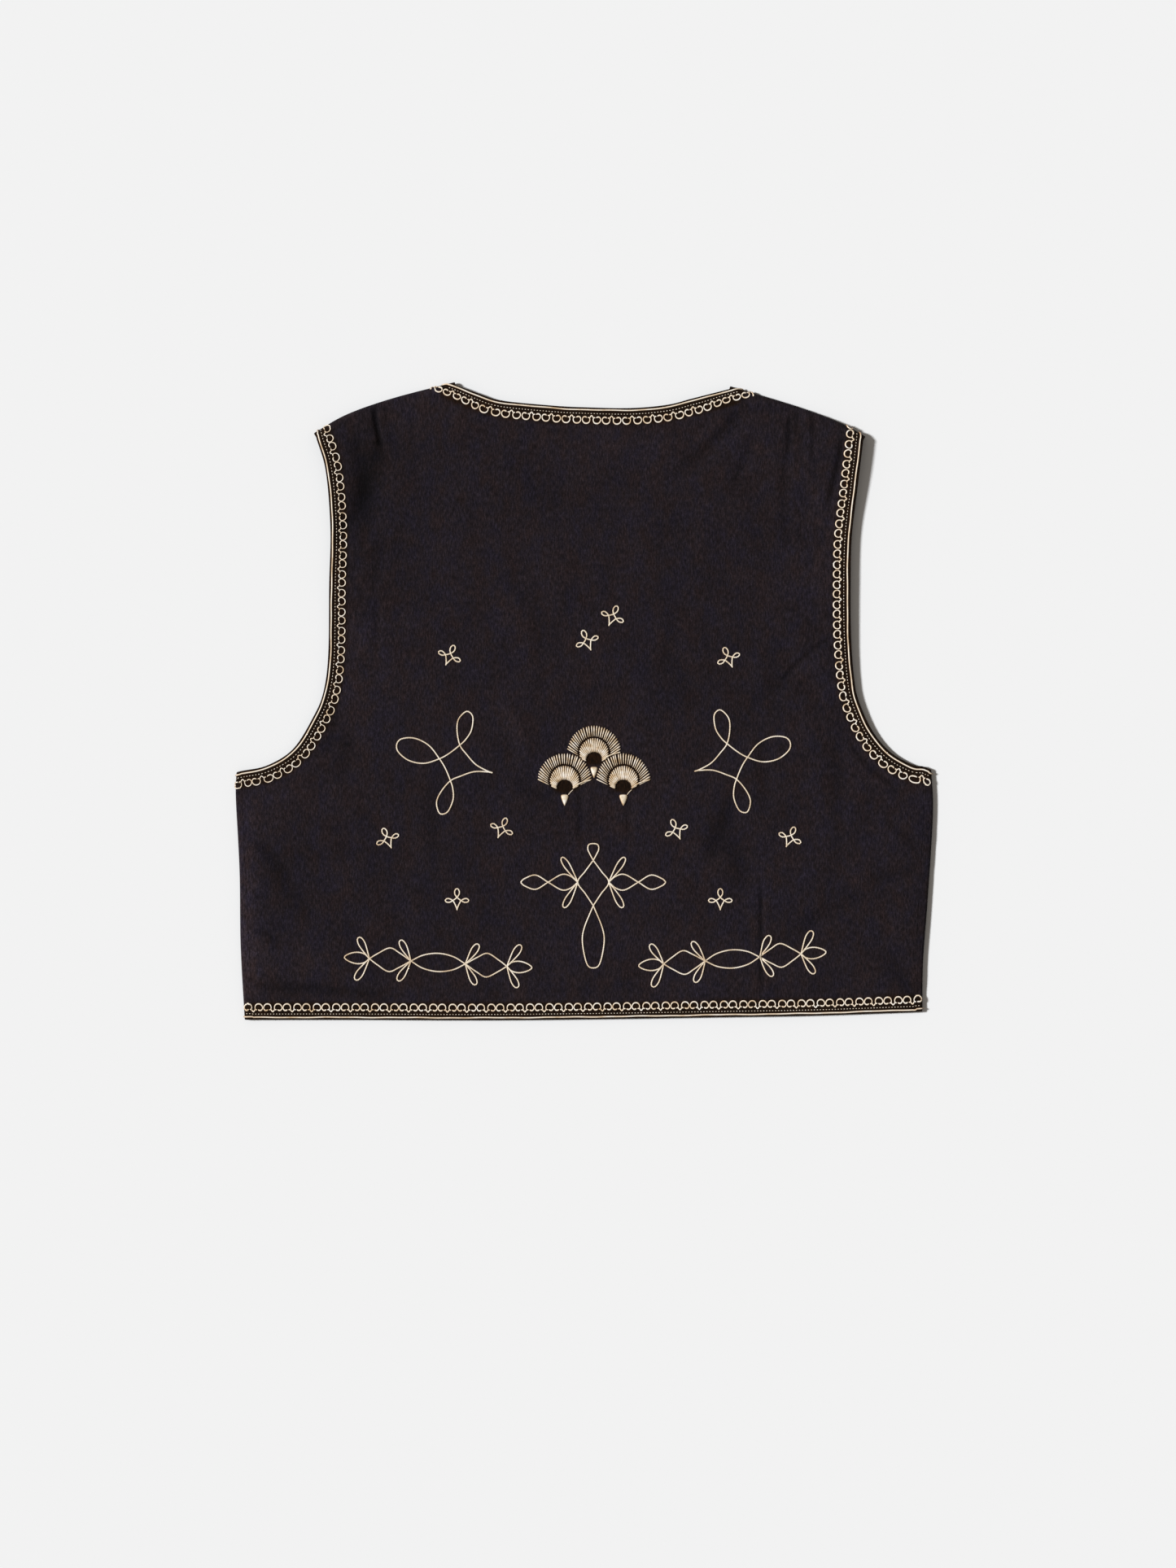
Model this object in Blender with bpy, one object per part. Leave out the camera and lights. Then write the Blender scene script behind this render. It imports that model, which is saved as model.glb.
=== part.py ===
"""Embroidered vest of folk dress, laid flat with its back up.

The back is the top layer. It passes over the shoulder folds to the shoulder seams underneath. The two fronts
are the bottom layer, and wrap round the side folds to the side seams on top. X runs to the right of someone
who looks down on it, Y towards the neck, Z up. The origin is under the middle of the outline.
"""

import math
from collections import namedtuple

import bmesh
import bpy
from mathutils import Vector
from mathutils.geometry import delaunay_2d_cdt

MM = 0.001  # every size and place below is in millimetres

# Driving sizes
CLOTH = 1.5  # thickness of the cloth
GAP = 0.3  # between neighbours at a seam, and under what is sewn on
REST_HEIGHT = 4.3  # top of the back where it lies flat on the fronts
LEAST_HEIGHT = 2 * CLOTH + GAP  # the back can't sink into the fronts
BAND = 3.8  # the edge cord runs down the middle of a band this wide
SHOULDER_LAP = 12.0  # from the shoulder fold to the hidden shoulder seam
MIDDLE_X = 6.0  # the vest's own middle line
FRONT_OPENING = 2.0  # half the gap where the fronts meet
FRONT_INSET = 1.0  # the fronts' hem lies this far inside the back's
HEM_MIDDLE_Y = -234.2  # the back's hem at the middle line
SHOULDER_PROBE = 3.0  # how far inside a shoulder fold its height is taken

# Spacing of the points that the cloth is made of
SPAN_STEPS = 16  # fine points between two of a table's points
GRID_START_X, GRID_START_Y = -265, -240
GRID_WIDTH, GRID_HEIGHT = 530, 480
CREASE_SHOULDER = 1.5  # points at this many widths beside a crease
EDGE_STEP = 9.0
BACK_GRID = 19.0
FRONT_GRID = 34.0
CREASE_STEP = 13.0
CLEAR_OF_EDGE = 8.0
CLEAR_OF_CREASE = 7.0
FOLD_STEPS = 4  # straight stretches round a fold
OPENING_HEIGHTS = (-180.0, -120.0, -60.0, 0.0)  # points up the fronts' meeting edges
SHARP_ANGLE = 40  # degrees

# Edge cord, a flattened round
CORD_WIDTH = 1.6
CORD_HEIGHT = 1.0
CORD_END = 1.974  # radians round a fold where the cord's solid stops, above the floor

# Satin fans
FAN_RADIUS = 20.0
FAN_FOCUS = 9.0  # below the arc's centre, where the rays meet
FAN_HOLE_RADIUS = 5.8
FAN_HOLE_DROP = 5.4  # the hole's centre below the arc's centre
FAN_RING_RADIUS = 10.8  # of the dense inner ring, about the arc's centre
FAN_RAYS = 18
FAN_EDGE_HEIGHT = 0.45
FAN_CROWN_HEIGHT = 1.1
FAN_RIM_CROWN = 0.8  # share of the crown's height near the rim
FAN_INNER_SLOPE = 1.0
FAN_RIM_SLOPE = 0.6
FAN_CUT_SHARE = 0.75  # the ring gives way where another fan cuts a ray short
DROP_LENGTH = 8.9
DROP_TOP = 10.2  # below the arc's centre
# A drop's right side: how far down, and how far out, as shares of its length and half width
DROP_SIDE = [(0.0, 0.0), (0.01, 0.55), (0.06, 0.9), (0.2, 1.0), (0.42, 0.82), (0.66, 0.55), (0.88, 0.24), (1.0, 0.0)]
DROP_EDGE_HEIGHT = 0.35
DROP_CROWN_HEIGHT = 1.0

Place = namedtuple("Place", "x y")
ORIGIN = Place(-0.62, 0.74)  # middle of the vest's box, which becomes the origin

# Outline of the vest as it lies, each line from its first end to its last
HEM = [Place(-173, -234.5), Place(-71, -234.8), Place(25, -233.8), Place(97, -232.6), Place(169, -231.4)]
NECK = [
    Place(78.9, 222.9), Place(60.9, 218.4), Place(33.9, 216), Place(0, 216.6), Place(-23.1, 217.8),
    Place(-61.2, 221.5), Place(-79.5, 227),
]
ARMHOLE_LEFT = [
    Place(-233.6, -47.1), Place(-214.5, -34.8), Place(-199.5, -10.8), Place(-192.3, 7.2), Place(-188.8, 35),
    Place(-188.1, 85.2), Place(-187.2, 127.2), Place(-190.5, 169.2),
]
ARMHOLE_RIGHT = [
    Place(240.8, -46.5), Place(225, -37.4), Place(211.8, -21.8), Place(201.6, 0.6), Place(198.2, 18),
    Place(196, 48), Place(195.6, 85.2), Place(196.5, 121.2), Place(200.7, 157.2),
]
SHOULDER_LEFT = [Place(-199.5, 197.4), Place(-175.5, 211.2), Place(-141.9, 223.2), Place(-95.7, 235.2)]
SHOULDER_RIGHT = [Place(206.7, 195), Place(188.1, 205.2), Place(156.3, 217.2), Place(107.1, 232.2)]
SIDE_LEFT = [
    Place(-250.5, -234.6), Place(-253.5, -180), Place(-254.3, -125), Place(-257.1, -70), Place(-256.5, -52.2),
]
SIDE_RIGHT = [
    Place(248.7, -228.4), Place(249.3, -190.8), Place(252.9, -142.8), Place(256.5, -82.8), Place(255.3, -50.4),
]

# Side seams, on top, from the hem to the armhole
SEAM_LEFT = [Place(-243.9, -234.5), Place(-248.6, -150), Place(-253.3, -51.4)]
SEAM_RIGHT = [Place(241.7, -228.9), Place(246.3, -142.8), Place(249.5, -82.8), Place(248.8, -47.8)]

# Hidden edges of the fronts: a deeper armhole and a V neck, worked out for the left and mirrored
FRONT_ARMHOLE = [Place(-232, -48.5), Place(-207, -35), Place(-187, 2), Place(-179, 90), Place(-181, 150)]
FRONT_NECK = [Place(-30, 110), Place(-68, 178)]
FRONT_NECK_FOOT = 48.0  # how high the V starts

Swell = namedtuple("Swell", "x y reach_x reach_y rise")
SWELLS = [
    Swell(-197, 190, 40, 45, 3.6),  # shoulder tips stand up off the floor
    Swell(204, 188, 42, 52, 3.9),
    Swell(-188, 92, 28, 66, 1.7),  # and so do the armholes' edges
    Swell(197, 80, 32, 76, 2.3),
    Swell(-96, 234, 36, 22, 0.9),
    Swell(107, 231, 36, 22, 1.1),
    Swell(5, 214, 60, 26, -0.5),  # the neck sags
    Swell(-150, -236, 90, 30, -0.3),
    Swell(140, -232, 80, 30, 0.3),
]

Crease = namedtuple("Crease", "x0 y0 x1 y1 bow width depth")
CREASES = [
    Crease(-157, 238, -142, 138, 3, 5.5, 1.6),  # left shoulder
    Crease(-163, 204, -156, 112, 0, 14, 1.2),
    Crease(-149, 124, -155, 74, 0, 9, 0.6),
    Crease(147, 240, 151, 120, -4, 5.5, 1.2),  # right shoulder
    Crease(138, 224, 62, 164, 3, 6.5, 0.8),
    Crease(189, 200, 177, 122, 2, 6, 1.0),
    Crease(192, 50, 132, -26, -7, 7, 1.0),  # right armhole
    Crease(-258, -90, -192, -170, 9, 9, 0.9),  # left side
    Crease(-246, -207, -128, -219, 0, 6, 0.7),
    Crease(130, -112, 130, -236, 0, 5, 0.8),  # right of the middle
    Crease(187, -40, 187, -142, 0, 6, 0.6),
    Crease(224, -142, 164, -174, 3, 7, 0.6),
]

Material = namedtuple("Material", "red green blue roughness")
MATERIALS = {
    "cloth": Material(0.017, 0.012, 0.014, 0.9),
    "cord": Material(0.80, 0.73, 0.60, 0.55),
    "satin": Material(0.74, 0.62, 0.44, 0.45),
}

Fan = namedtuple("Fan", "name x y drop_width")
FANS = [
    Fan("top", 6.9, -37.8, 5.4),
    Fan("left", -14.7, -58.2, 5.8),
    Fan("right", 28.5, -58.2, 6.2),
]


def fade(t):
    """0 at t = 0 and 1 from t = 1 on, level at both ends."""
    t = min(max(t, 0.0), 1.0)
    return t * t * (3 - 2 * t)


def crease_depth(crease, x, y):
    """How far a crease pulls the cloth down at a point: deepest along its bowed line."""
    along = Vector((crease.x1 - crease.x0, crease.y1 - crease.y0))
    length = along.length
    along /= length
    offset = Vector((x - crease.x0, y - crease.y0))
    t = offset.dot(along) / length
    if not 0 < t < 1:
        return 0.0
    aside = along.x * offset.y - along.y * offset.x - crease.bow * 4 * t * (1 - t)
    return crease.depth * math.exp(-((aside / crease.width) ** 2)) * fade(4 * t) * fade(4 * (1 - t))


def height(x, y):
    """Top of the back, or of a front's lap, at a point."""
    z = REST_HEIGHT
    for swell in SWELLS:
        dx = (x - swell.x) / swell.reach_x
        dy = (y - swell.y) / swell.reach_y
        z += swell.rise * math.exp(-dx * dx - dy * dy)
    for crease in CREASES:
        z -= crease_depth(crease, x, y)
    return max(z, LEAST_HEIGHT)


def smooth_line(table):
    """A fine line on a Catmull-Rom curve through the table's points."""
    points = [Vector((p[0], p[1])) for p in table]
    points = [2 * points[0] - points[1]] + points + [2 * points[-1] - points[-2]]
    line = []
    for a, b, c, d in zip(points, points[1:], points[2:], points[3:]):
        for step in range(SPAN_STEPS):
            t = step / SPAN_STEPS
            line.append(
                0.5 * (2 * b + (c - a) * t + (2 * a - 5 * b + 4 * c - d) * t**2 + (3 * b - a - 3 * c + d) * t**3)
            )
    return line + [points[-2]]


def along_line(line, distances):
    """Points of a line at some distances from its start."""
    points = []
    walked = 0.0
    wanted = list(distances)
    for a, b in zip(line, line[1:]):
        length = (b - a).length
        while wanted and wanted[0] <= walked + length:
            points.append(a.lerp(b, (wanted.pop(0) - walked) / length))
        walked += length
    return points + [line[-1].copy() for _ in wanted]


def spaced(line, step, band_ends):
    """A line's points about step apart, and where band_ends is set also one a band's width from each end."""
    length = sum((b - a).length for a, b in zip(line, line[1:]))
    margin = BAND if band_ends else 0.0
    count = max(1, round((length - 2 * margin) / step))
    distances = [margin + (length - 2 * margin) * i / count for i in range(count + 1)]
    if band_ends:
        distances = [0.0] + distances + [length]
    return along_line(line, distances)


def same_count(line, other):
    """A line's points, as many as other has and placed as other's are."""
    length = sum((b - a).length for a, b in zip(line, line[1:]))
    return along_line(line, [0.0, BAND] + [
        BAND + (length - 2 * BAND) * i / (len(other) - 3) for i in range(1, len(other) - 3)
    ] + [length - BAND, length])


def normals(points):
    """Unit vectors to the left of a line's direction, one for each of its points."""
    found = []
    for i in range(len(points)):
        ahead = points[min(i + 1, len(points) - 1)] - points[max(i - 1, 0)]
        found.append(Vector((-ahead.y, ahead.x)).normalized())
    return found


def shifted(points, distance):
    """A line moved to its left."""
    return [p + n * distance for p, n in zip(points, normals(points))]


class Cloth:
    """Points of one piece of cloth: where each lies on the flat cut, and where its outer and inner faces lie."""

    def __init__(self):
        self.cut = []
        self.outer = []
        self.inner = []
        self.known = {}
        self.edges = []

    def add(self, cut, outer, inner):
        key = (round(cut.x, 2), round(cut.y, 2))
        if key not in self.known:
            self.known[key] = len(self.cut)
            self.cut.append(Vector((cut.x, cut.y)))
            self.outer.append(Vector(outer))
            self.inner.append(Vector(inner))
        return self.known[key]

    def add_top(self, p):
        """A point of the top layer."""
        z = height(p.x, p.y)
        return self.add(p, (p.x, p.y, z), (p.x, p.y, z - CLOTH))

    def add_floor(self, p):
        """A point of the bottom layer."""
        return self.add(p, (p.x, p.y, 0.0), (p.x, p.y, CLOTH))

    def join(self, indices):
        """Keeps the stretches between neighbours as edges of the mesh."""
        self.edges += [(a, b) for a, b in zip(indices, indices[1:]) if a != b]

    def outward(self, index):
        return (self.outer[index] - self.inner[index]).normalized()


def fold_rows(cloth, rim, seam, from_top):
    """Rows of points from where the cloth leaves its layer, round the fold, to the seam in the other layer.

    rim is the fold as seen from above, seam where the cloth ends, and both have the same number of points.
    """
    rows = [[] for _ in range(FOLD_STEPS + 2)]
    way = 1 if from_top else -1
    for fold, end in zip(rim, seam):
        out = (fold - end).normalized()
        width = (fold - end).length
        tall = height(*(fold - out * SHOULDER_PROBE)) if from_top else height(*end)
        radius = tall / 2
        start = fold - out * radius
        for step in range(FOLD_STEPS + 1):
            turn = math.pi * step / FOLD_STEPS
            cut = start + out * radius * turn
            faces = []
            for r in (radius, radius - CLOTH):
                p = start + out * r * math.sin(turn)
                faces.append((p.x, p.y, radius + way * r * math.cos(turn)))
            rows[step].append(cloth.add(cut, *faces))
        cut = start + out * (radius * math.pi + width - radius)
        outer_z = radius - way * radius
        rows[-1].append(cloth.add(cut, (end.x, end.y, outer_z), (end.x, end.y, outer_z + way * CLOTH)))
    for row in rows:
        cloth.join(row)
    return rows


def crease_points():
    """Points on the main creases' floors and shoulders, so that the mesh follows them."""
    found = []
    for crease in CREASES:
        start = Vector((crease.x0, crease.y0))
        along = Vector((crease.x1, crease.y1)) - start
        count = max(2, round(along.length / CREASE_STEP))
        left = Vector((-along.y, along.x)).normalized()
        for i in range(1, count):
            t = i / count
            for aside in (-CREASE_SHOULDER, 0.0, CREASE_SHOULDER):
                found.append(start + along * t + left * (crease.bow * 4 * t * (1 - t) + aside * crease.width))
    return found


def inside(p, loop, margin):
    """Whether a point is inside a closed line and at least a margin from its corners and sides."""
    hit = False
    for a, b in zip(loop, loop[1:] + loop[:1]):
        if (a.y > p.y) != (b.y > p.y) and p.x < a.x + (b.x - a.x) * (p.y - a.y) / (b.y - a.y):
            hit = not hit
        along = b - a
        t = min(max((p - a).dot(along) / max(along.length_squared, 1e-9), 0.0), 1.0)
        if (a + along * t - p).length < margin:
            return False
    return hit


def grid(step):
    """Points in staggered rows over the whole vest."""
    row_step = step * math.sqrt(3) / 2
    for j in range(int(GRID_HEIGHT / row_step) + 1):
        for i in range(int(GRID_WIDTH / step) + 1):
            yield Vector((GRID_START_X + (i + 0.5 * (j % 2)) * step, GRID_START_Y + j * row_step))


def material(name):
    values = MATERIALS[name]
    made = bpy.data.materials.get(name)
    if made:
        return made
    made = bpy.data.materials.new(name)
    made.use_nodes = True
    shader = made.node_tree.nodes["Principled BSDF"]
    shader.inputs["Base Color"].default_value = (values.red, values.green, values.blue, 1)
    shader.inputs["Roughness"].default_value = values.roughness
    shader.inputs["Metallic"].default_value = 0.0
    return made


def new_object(name, points, faces, finish):
    """One closed solid, in metres, with its faces turned outwards."""
    mesh = bpy.data.meshes.new(name)
    mesh.from_pydata([((p[0] - ORIGIN.x) * MM, (p[1] - ORIGIN.y) * MM, p[2] * MM) for p in points], [], faces)
    work = bmesh.new()
    work.from_mesh(mesh)
    bmesh.ops.triangulate(work, faces=work.faces)
    bmesh.ops.recalc_face_normals(work, faces=work.faces)
    work.to_mesh(mesh)
    work.free()
    mesh.shade_smooth()
    mesh.set_sharp_from_angle(angle=math.radians(SHARP_ANGLE))
    mesh.materials.append(material(finish))
    made = bpy.data.objects.new(name, mesh)
    bpy.context.scene.collection.objects.link(made)
    return made


def wall(name, cloth, border, finish):
    """The piece of cloth inside a border: two faces and the cut edge between them."""
    cloth.join(border + border[:1])
    points, _, triangles, origins, _, _ = delaunay_2d_cdt(cloth.cut, cloth.edges, [], 1, 1e-4)
    at = [origin[0] for origin in origins]
    count = len(cloth.cut)
    faces = []
    for triangle in triangles:
        corners = [at[i] for i in triangle]
        faces.append(corners)
        faces.append([i + count for i in reversed(corners)])
    for a, b in zip(border, border[1:] + border[:1]):
        faces.append([b, a, a + count, b + count])
    used = sorted({i for face in faces for i in face})
    renumbered = {old: new for new, old in enumerate(used)}
    both = cloth.outer + cloth.inner
    new_object(name, [both[i] for i in used], [[renumbered[i] for i in face] for face in faces], finish)


def banded_edge(cloth, edge, first_inner, last_inner, left_side):
    """Adds a free edge of the top layer and a line a band's width inside it. Gives both as indices."""
    outline = [cloth.add_top(p) for p in edge]
    within = shifted(edge, BAND if left_side else -BAND)
    within[0] = first_inner
    within[-1] = last_inner
    line = [cloth.add_top(p) for p in within]
    cloth.join(line)
    return outline, line


class Side:
    """A side fold: its rim seen from above, and the seam on top where the front's cloth ends."""

    def __init__(self, rim_table, seam_table):
        self.rim = spaced(smooth_line(rim_table), 2 * EDGE_STEP, True)
        self.seam = same_count(smooth_line(seam_table), self.rim)
        self.back_edge = [end + (end - rim).normalized() * GAP for rim, end in zip(self.rim, self.seam)]


class Shoulder:
    """A shoulder fold: its rim from the tip to the neck, and the hidden seam where the back's cloth ends."""

    def __init__(self, table, left):
        self.rim = spaced(smooth_line(table), EDGE_STEP, True)
        way = -1 if left else 1
        self.seam = shifted(self.rim, way * SHOULDER_LAP)
        self.front_edge = shifted(self.rim, way * (SHOULDER_LAP + GAP))


def build_back(sides, shoulders):
    """The back, with its laps over both shoulder folds. Gives the bands that the edge cords lie on."""
    cloth = Cloth()
    folds = {
        key: fold_rows(cloth, shoulder.rim, shoulder.seam, True) for key, shoulder in shoulders.items()
    }

    def fold_start(key, station):
        return cloth.cut[folds[key][0][station]]

    left, right = sides["left"].back_edge, sides["right"].back_edge
    hem_line = spaced(smooth_line([left[0]] + HEM + [right[0]]), EDGE_STEP, False)
    arm_right_line = spaced(smooth_line([right[-1]] + ARMHOLE_RIGHT + [fold_start("right", 0)]), EDGE_STEP, False)
    neck_line = spaced(smooth_line([fold_start("right", -1)] + NECK + [fold_start("left", -1)]), EDGE_STEP, False)
    arm_left_line = spaced(smooth_line([left[-1]] + ARMHOLE_LEFT + [fold_start("left", 0)]), EDGE_STEP, False)

    hem = banded_edge(cloth, hem_line, left[1], right[1], True)
    arm_right = banded_edge(cloth, arm_right_line, right[-2], fold_start("right", 1), True)
    neck = banded_edge(cloth, neck_line, fold_start("right", -2), fold_start("left", -2), True)
    arm_left = banded_edge(cloth, arm_left_line, left[-2], fold_start("left", 1), False)
    seam_right = [cloth.add_top(p) for p in right]
    seam_left = [cloth.add_top(p) for p in left]

    def round_fold(key, station):
        return [row[station] for row in folds[key]]

    border = (
        hem[0][:-1] + seam_right[:-1] + arm_right[0][:-1]
        + round_fold("right", 0) + folds["right"][-1][1:] + round_fold("right", -1)[-2:0:-1]
        + neck[0][:-1]
        + round_fold("left", -1) + folds["left"][-1][-2::-1] + round_fold("left", 0)[-2:0:-1]
        + arm_left[0][:0:-1] + seam_left[:0:-1]
    )
    flat_part = (
        hem[0] + seam_right + arm_right[0] + folds["right"][0] + neck[0]
        + folds["left"][0][::-1] + arm_left[0][::-1] + seam_left[::-1]
    )
    loop = [cloth.cut[i] for i in dict.fromkeys(flat_part)]
    creases = [p for p in crease_points() if inside(p, loop, CLEAR_OF_EDGE)]
    for p in creases:
        cloth.add_top(p)
    for p in grid(BACK_GRID):
        if inside(p, loop, CLEAR_OF_EDGE) and all((p - c).length > CLEAR_OF_CREASE for c in creases):
            cloth.add_top(p)
    wall("back_panel", cloth, border, "cloth")

    bands = {"hem": band_of(cloth, *hem), "neck": band_of(cloth, *neck)}
    bands["armhole_left"] = band_of(cloth, *arm_left)
    bands["armhole_right"] = band_of(cloth, *arm_right)
    for key in ("left", "right"):
        tip = band_of(cloth, round_fold(key, 0), round_fold(key, 1))
        bands["armhole_" + key] += tip[1:]
    at_neck = {key: band_of(cloth, round_fold(key, -1), round_fold(key, -2)) for key in ("left", "right")}
    bands["neck"] = at_neck["right"][:0:-1] + bands["neck"] + at_neck["left"][1:]
    return bands


def build_front(name, side, shoulder, left):
    """One front, with its lap round the side fold. Gives the bands of the lap at the hem and at the armhole."""
    cloth = Cloth()
    way = -1 if left else 1
    rows = fold_rows(cloth, side.rim, side.seam, False)

    def mirrored(table):
        """The hidden edges are given for the left, and mirrored about the middle line."""
        return [Place(p.x if left else 2 * MIDDLE_X - p.x, p.y) for p in table]

    middle = MIDDLE_X + way * FRONT_OPENING
    start = cloth.cut[rows[0][0]]
    underarm = cloth.cut[rows[0][-1]]
    hem_table = sorted([p for p in HEM if (p.x < MIDDLE_X) == left], key=lambda p: -way * p.x)
    hem_table = [Place(p.x, p.y + FRONT_INSET) for p in hem_table] + [Place(middle, HEM_MIDDLE_Y + FRONT_INSET)]
    hem = spaced(smooth_line([start] + hem_table), 2 * EDGE_STEP, False)
    opening = [Vector((middle, y)) for y in OPENING_HEIGHTS]
    neck_end, tip_end = shoulder.front_edge[-1], shoulder.front_edge[0]
    neck_table = [Place(middle, FRONT_NECK_FOOT)] + mirrored(FRONT_NECK) + [neck_end]
    neck = spaced(smooth_line(neck_table), 2 * EDGE_STEP, False)
    armhole = spaced(smooth_line([underarm] + mirrored(FRONT_ARMHOLE) + [tip_end]), EDGE_STEP, False)
    round_hem = [row[0] for row in rows]
    round_underarm = [row[-1] for row in rows]
    on_floor = hem[1:] + opening + neck + shoulder.front_edge[-2:0:-1] + armhole[:0:-1]
    around = (
        [cloth.add_floor(p) for p in on_floor]
        + round_underarm + rows[-1][-2::-1] + round_hem[-2::-1]
    )
    border = around if left else around[::-1]
    loop = on_floor + [cloth.cut[i] for i in rows[0][::-1]]
    for p in grid(FRONT_GRID):
        if inside(p, loop, 2 * CLEAR_OF_EDGE):
            cloth.add_floor(p)
    wall(name, cloth, border, "cloth")
    at_hem = band_of(cloth, round_hem, [row[1] for row in rows])
    at_armhole = band_of(cloth, round_underarm, [row[-2] for row in rows])
    return at_hem, at_armhole


BandPoint = namedtuple("BandPoint", "edge within outward")


def band_of(cloth, edge, within):
    return [
        BandPoint(cloth.outer[a], cloth.outer[b], (cloth.outward(a) + cloth.outward(b)).normalized())
        for a, b in zip(edge, within)
    ]


def build_cord(name, band):
    """A flattened cord down the middle of a band of the cloth."""
    half, tall = CORD_WIDTH / 2, CORD_HEIGHT
    section = [
        (-0.7 * half, 0.0), (0.7 * half, 0.0), (half, 0.5 * tall),
        (0.5 * half, tall), (-0.5 * half, tall), (-half, 0.5 * tall),
    ]
    points = []
    for point in band:
        across = (point.within - point.edge).normalized()
        out = (point.outward - across * point.outward.dot(across)).normalized()
        base = (point.edge + point.within) / 2 + out * GAP
        points += [base + across * a + out * b for a, b in section]
    sides = len(section)
    faces = [list(range(sides)), list(range(len(points) - sides, len(points)))]
    for ring in range(len(band) - 1):
        for i in range(sides):
            a, b = ring * sides + i, ring * sides + (i + 1) % sides
            faces.append([a, b, b + sides, a + sides])
    new_object(name, points, faces, "cord")


def above_floor(band):
    """The stretch of a band round a fold whose cord stays clear of the floor."""
    lowest = math.cos(CORD_END)
    return [p for p in band if p.outward.z > lowest]


def ray_end(start, towards, centre, radius, far):
    """Distance along a ray to a circle, its far crossing or its near one, or None where it misses."""
    offset = start - centre
    b = offset.dot(towards)
    root = b * b - offset.length_squared + radius * radius
    if root < 0:
        return None
    return -b + (math.sqrt(root) if far else -math.sqrt(root))


def build_fan(fan, over):
    """A fan of satin rays round a hole. A fan in over lies on this one, which stops at its edge."""
    centre = Vector((fan.x, fan.y))
    focus = centre - Vector((0, FAN_FOCUS))
    hole = centre - Vector((0, FAN_HOLE_DROP))
    rows = []
    for i in range(FAN_RAYS + 1):
        angle = math.pi * i / FAN_RAYS
        rim = centre + FAN_RADIUS * Vector((math.cos(angle), math.sin(angle)))
        ray = (rim - focus).normalized()
        near = ray_end(focus, ray, hole, FAN_HOLE_RADIUS, True)
        end = (rim - focus).length
        for other in over:
            hit = ray_end(focus, ray, Vector((other.x, other.y)), FAN_RADIUS + GAP, False)
            if hit is not None and 0 < hit < end:
                end = hit
        ring = min(ray_end(focus, ray, centre, FAN_RING_RADIUS, True), near + FAN_CUT_SHARE * (end - near))
        rows.append([
            (focus + ray * distance, rise) for distance, rise in (
                (near, FAN_EDGE_HEIGHT), (near + FAN_INNER_SLOPE, FAN_CROWN_HEIGHT), (ring, FAN_CROWN_HEIGHT),
                (end - FAN_RIM_SLOPE, FAN_RIM_CROWN * FAN_CROWN_HEIGHT), (end, FAN_EDGE_HEIGHT),
            )
        ])
    points = []
    for row in rows:
        for p, rise in row:
            z = height(p.x, p.y) + GAP
            points += [Vector((p.x, p.y, z + rise)), Vector((p.x, p.y, z))]
    width = len(rows[0])
    faces = []
    for i in range(FAN_RAYS):
        for j in range(width - 1):
            a, b = 2 * (i * width + j), 2 * (i * width + j + 1)
            c, d = b + 2 * width, a + 2 * width
            faces += [[a, b, c, d], [d + 1, c + 1, b + 1, a + 1]]
        for j, turned in ((0, False), (width - 1, True)):
            a, d = 2 * (i * width + j), 2 * ((i + 1) * width + j)
            quad = [a, d, d + 1, a + 1]
            faces.append(quad[::-1] if turned else quad)
    for i in (0, FAN_RAYS):
        for j in range(width - 1):
            a, b = 2 * (i * width + j), 2 * (i * width + j + 1)
            faces.append([a, b, b + 1, a + 1])
    new_object("fan_" + fan.name, points, faces, "satin")


def build_drop(fan):
    """A padded drop that hangs from a fan, broad on top and pointed below."""
    points = []
    for down, aside in DROP_SIDE + [(down, -aside) for down, aside in DROP_SIDE[-2:0:-1]]:
        x = fan.x + aside * fan.drop_width / 2
        y = fan.y - DROP_TOP - down * DROP_LENGTH
        points += [(x, y, height(x, y) + GAP + DROP_EDGE_HEIGHT), (x, y, height(x, y) + GAP)]
    ring = len(points)
    crown = (fan.x, fan.y - DROP_TOP - 0.4 * DROP_LENGTH)
    points.append((*crown, height(*crown) + GAP + DROP_CROWN_HEIGHT))
    faces = [[i + 1 for i in range(0, ring, 2)]]
    for i in range(0, ring, 2):
        j = (i + 2) % ring
        faces += [[i, j, j + 1, i + 1], [i, j, ring]]
    new_object("drop_" + fan.name, points, faces, "satin")


def main():
    for old in list(bpy.data.objects):
        bpy.data.objects.remove(old, do_unlink=True)
    sides = {"left": Side(SIDE_LEFT, SEAM_LEFT), "right": Side(SIDE_RIGHT, SEAM_RIGHT)}
    shoulders = {"left": Shoulder(SHOULDER_LEFT, True), "right": Shoulder(SHOULDER_RIGHT, False)}
    bands = build_back(sides, shoulders)
    at_hem, at_armhole = {}, {}
    for key in ("left", "right"):
        at_hem[key], at_armhole[key] = build_front(
            "front_panel_" + key, sides[key], shoulders[key], key == "left"
        )
        lap = above_floor(at_armhole[key][:-1])
        build_cord("armhole_cord_" + key, lap + above_floor(bands["armhole_" + key]))
    build_cord("neck_cord", above_floor(bands["neck"]))
    lap_left = above_floor(at_hem["left"][:-1])
    lap_right = above_floor(at_hem["right"][:-1])
    build_cord("hem_cord", lap_left + bands["hem"] + lap_right[::-1])
    for fan in FANS:
        build_fan(fan, [other for other in FANS if other is not fan] if fan.name == "top" else [])
        build_drop(fan)


main()
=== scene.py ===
import math
from collections import namedtuple

import bpy
import numpy as np
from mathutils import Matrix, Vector
from mathutils.geometry import delaunay_2d_cdt


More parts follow.
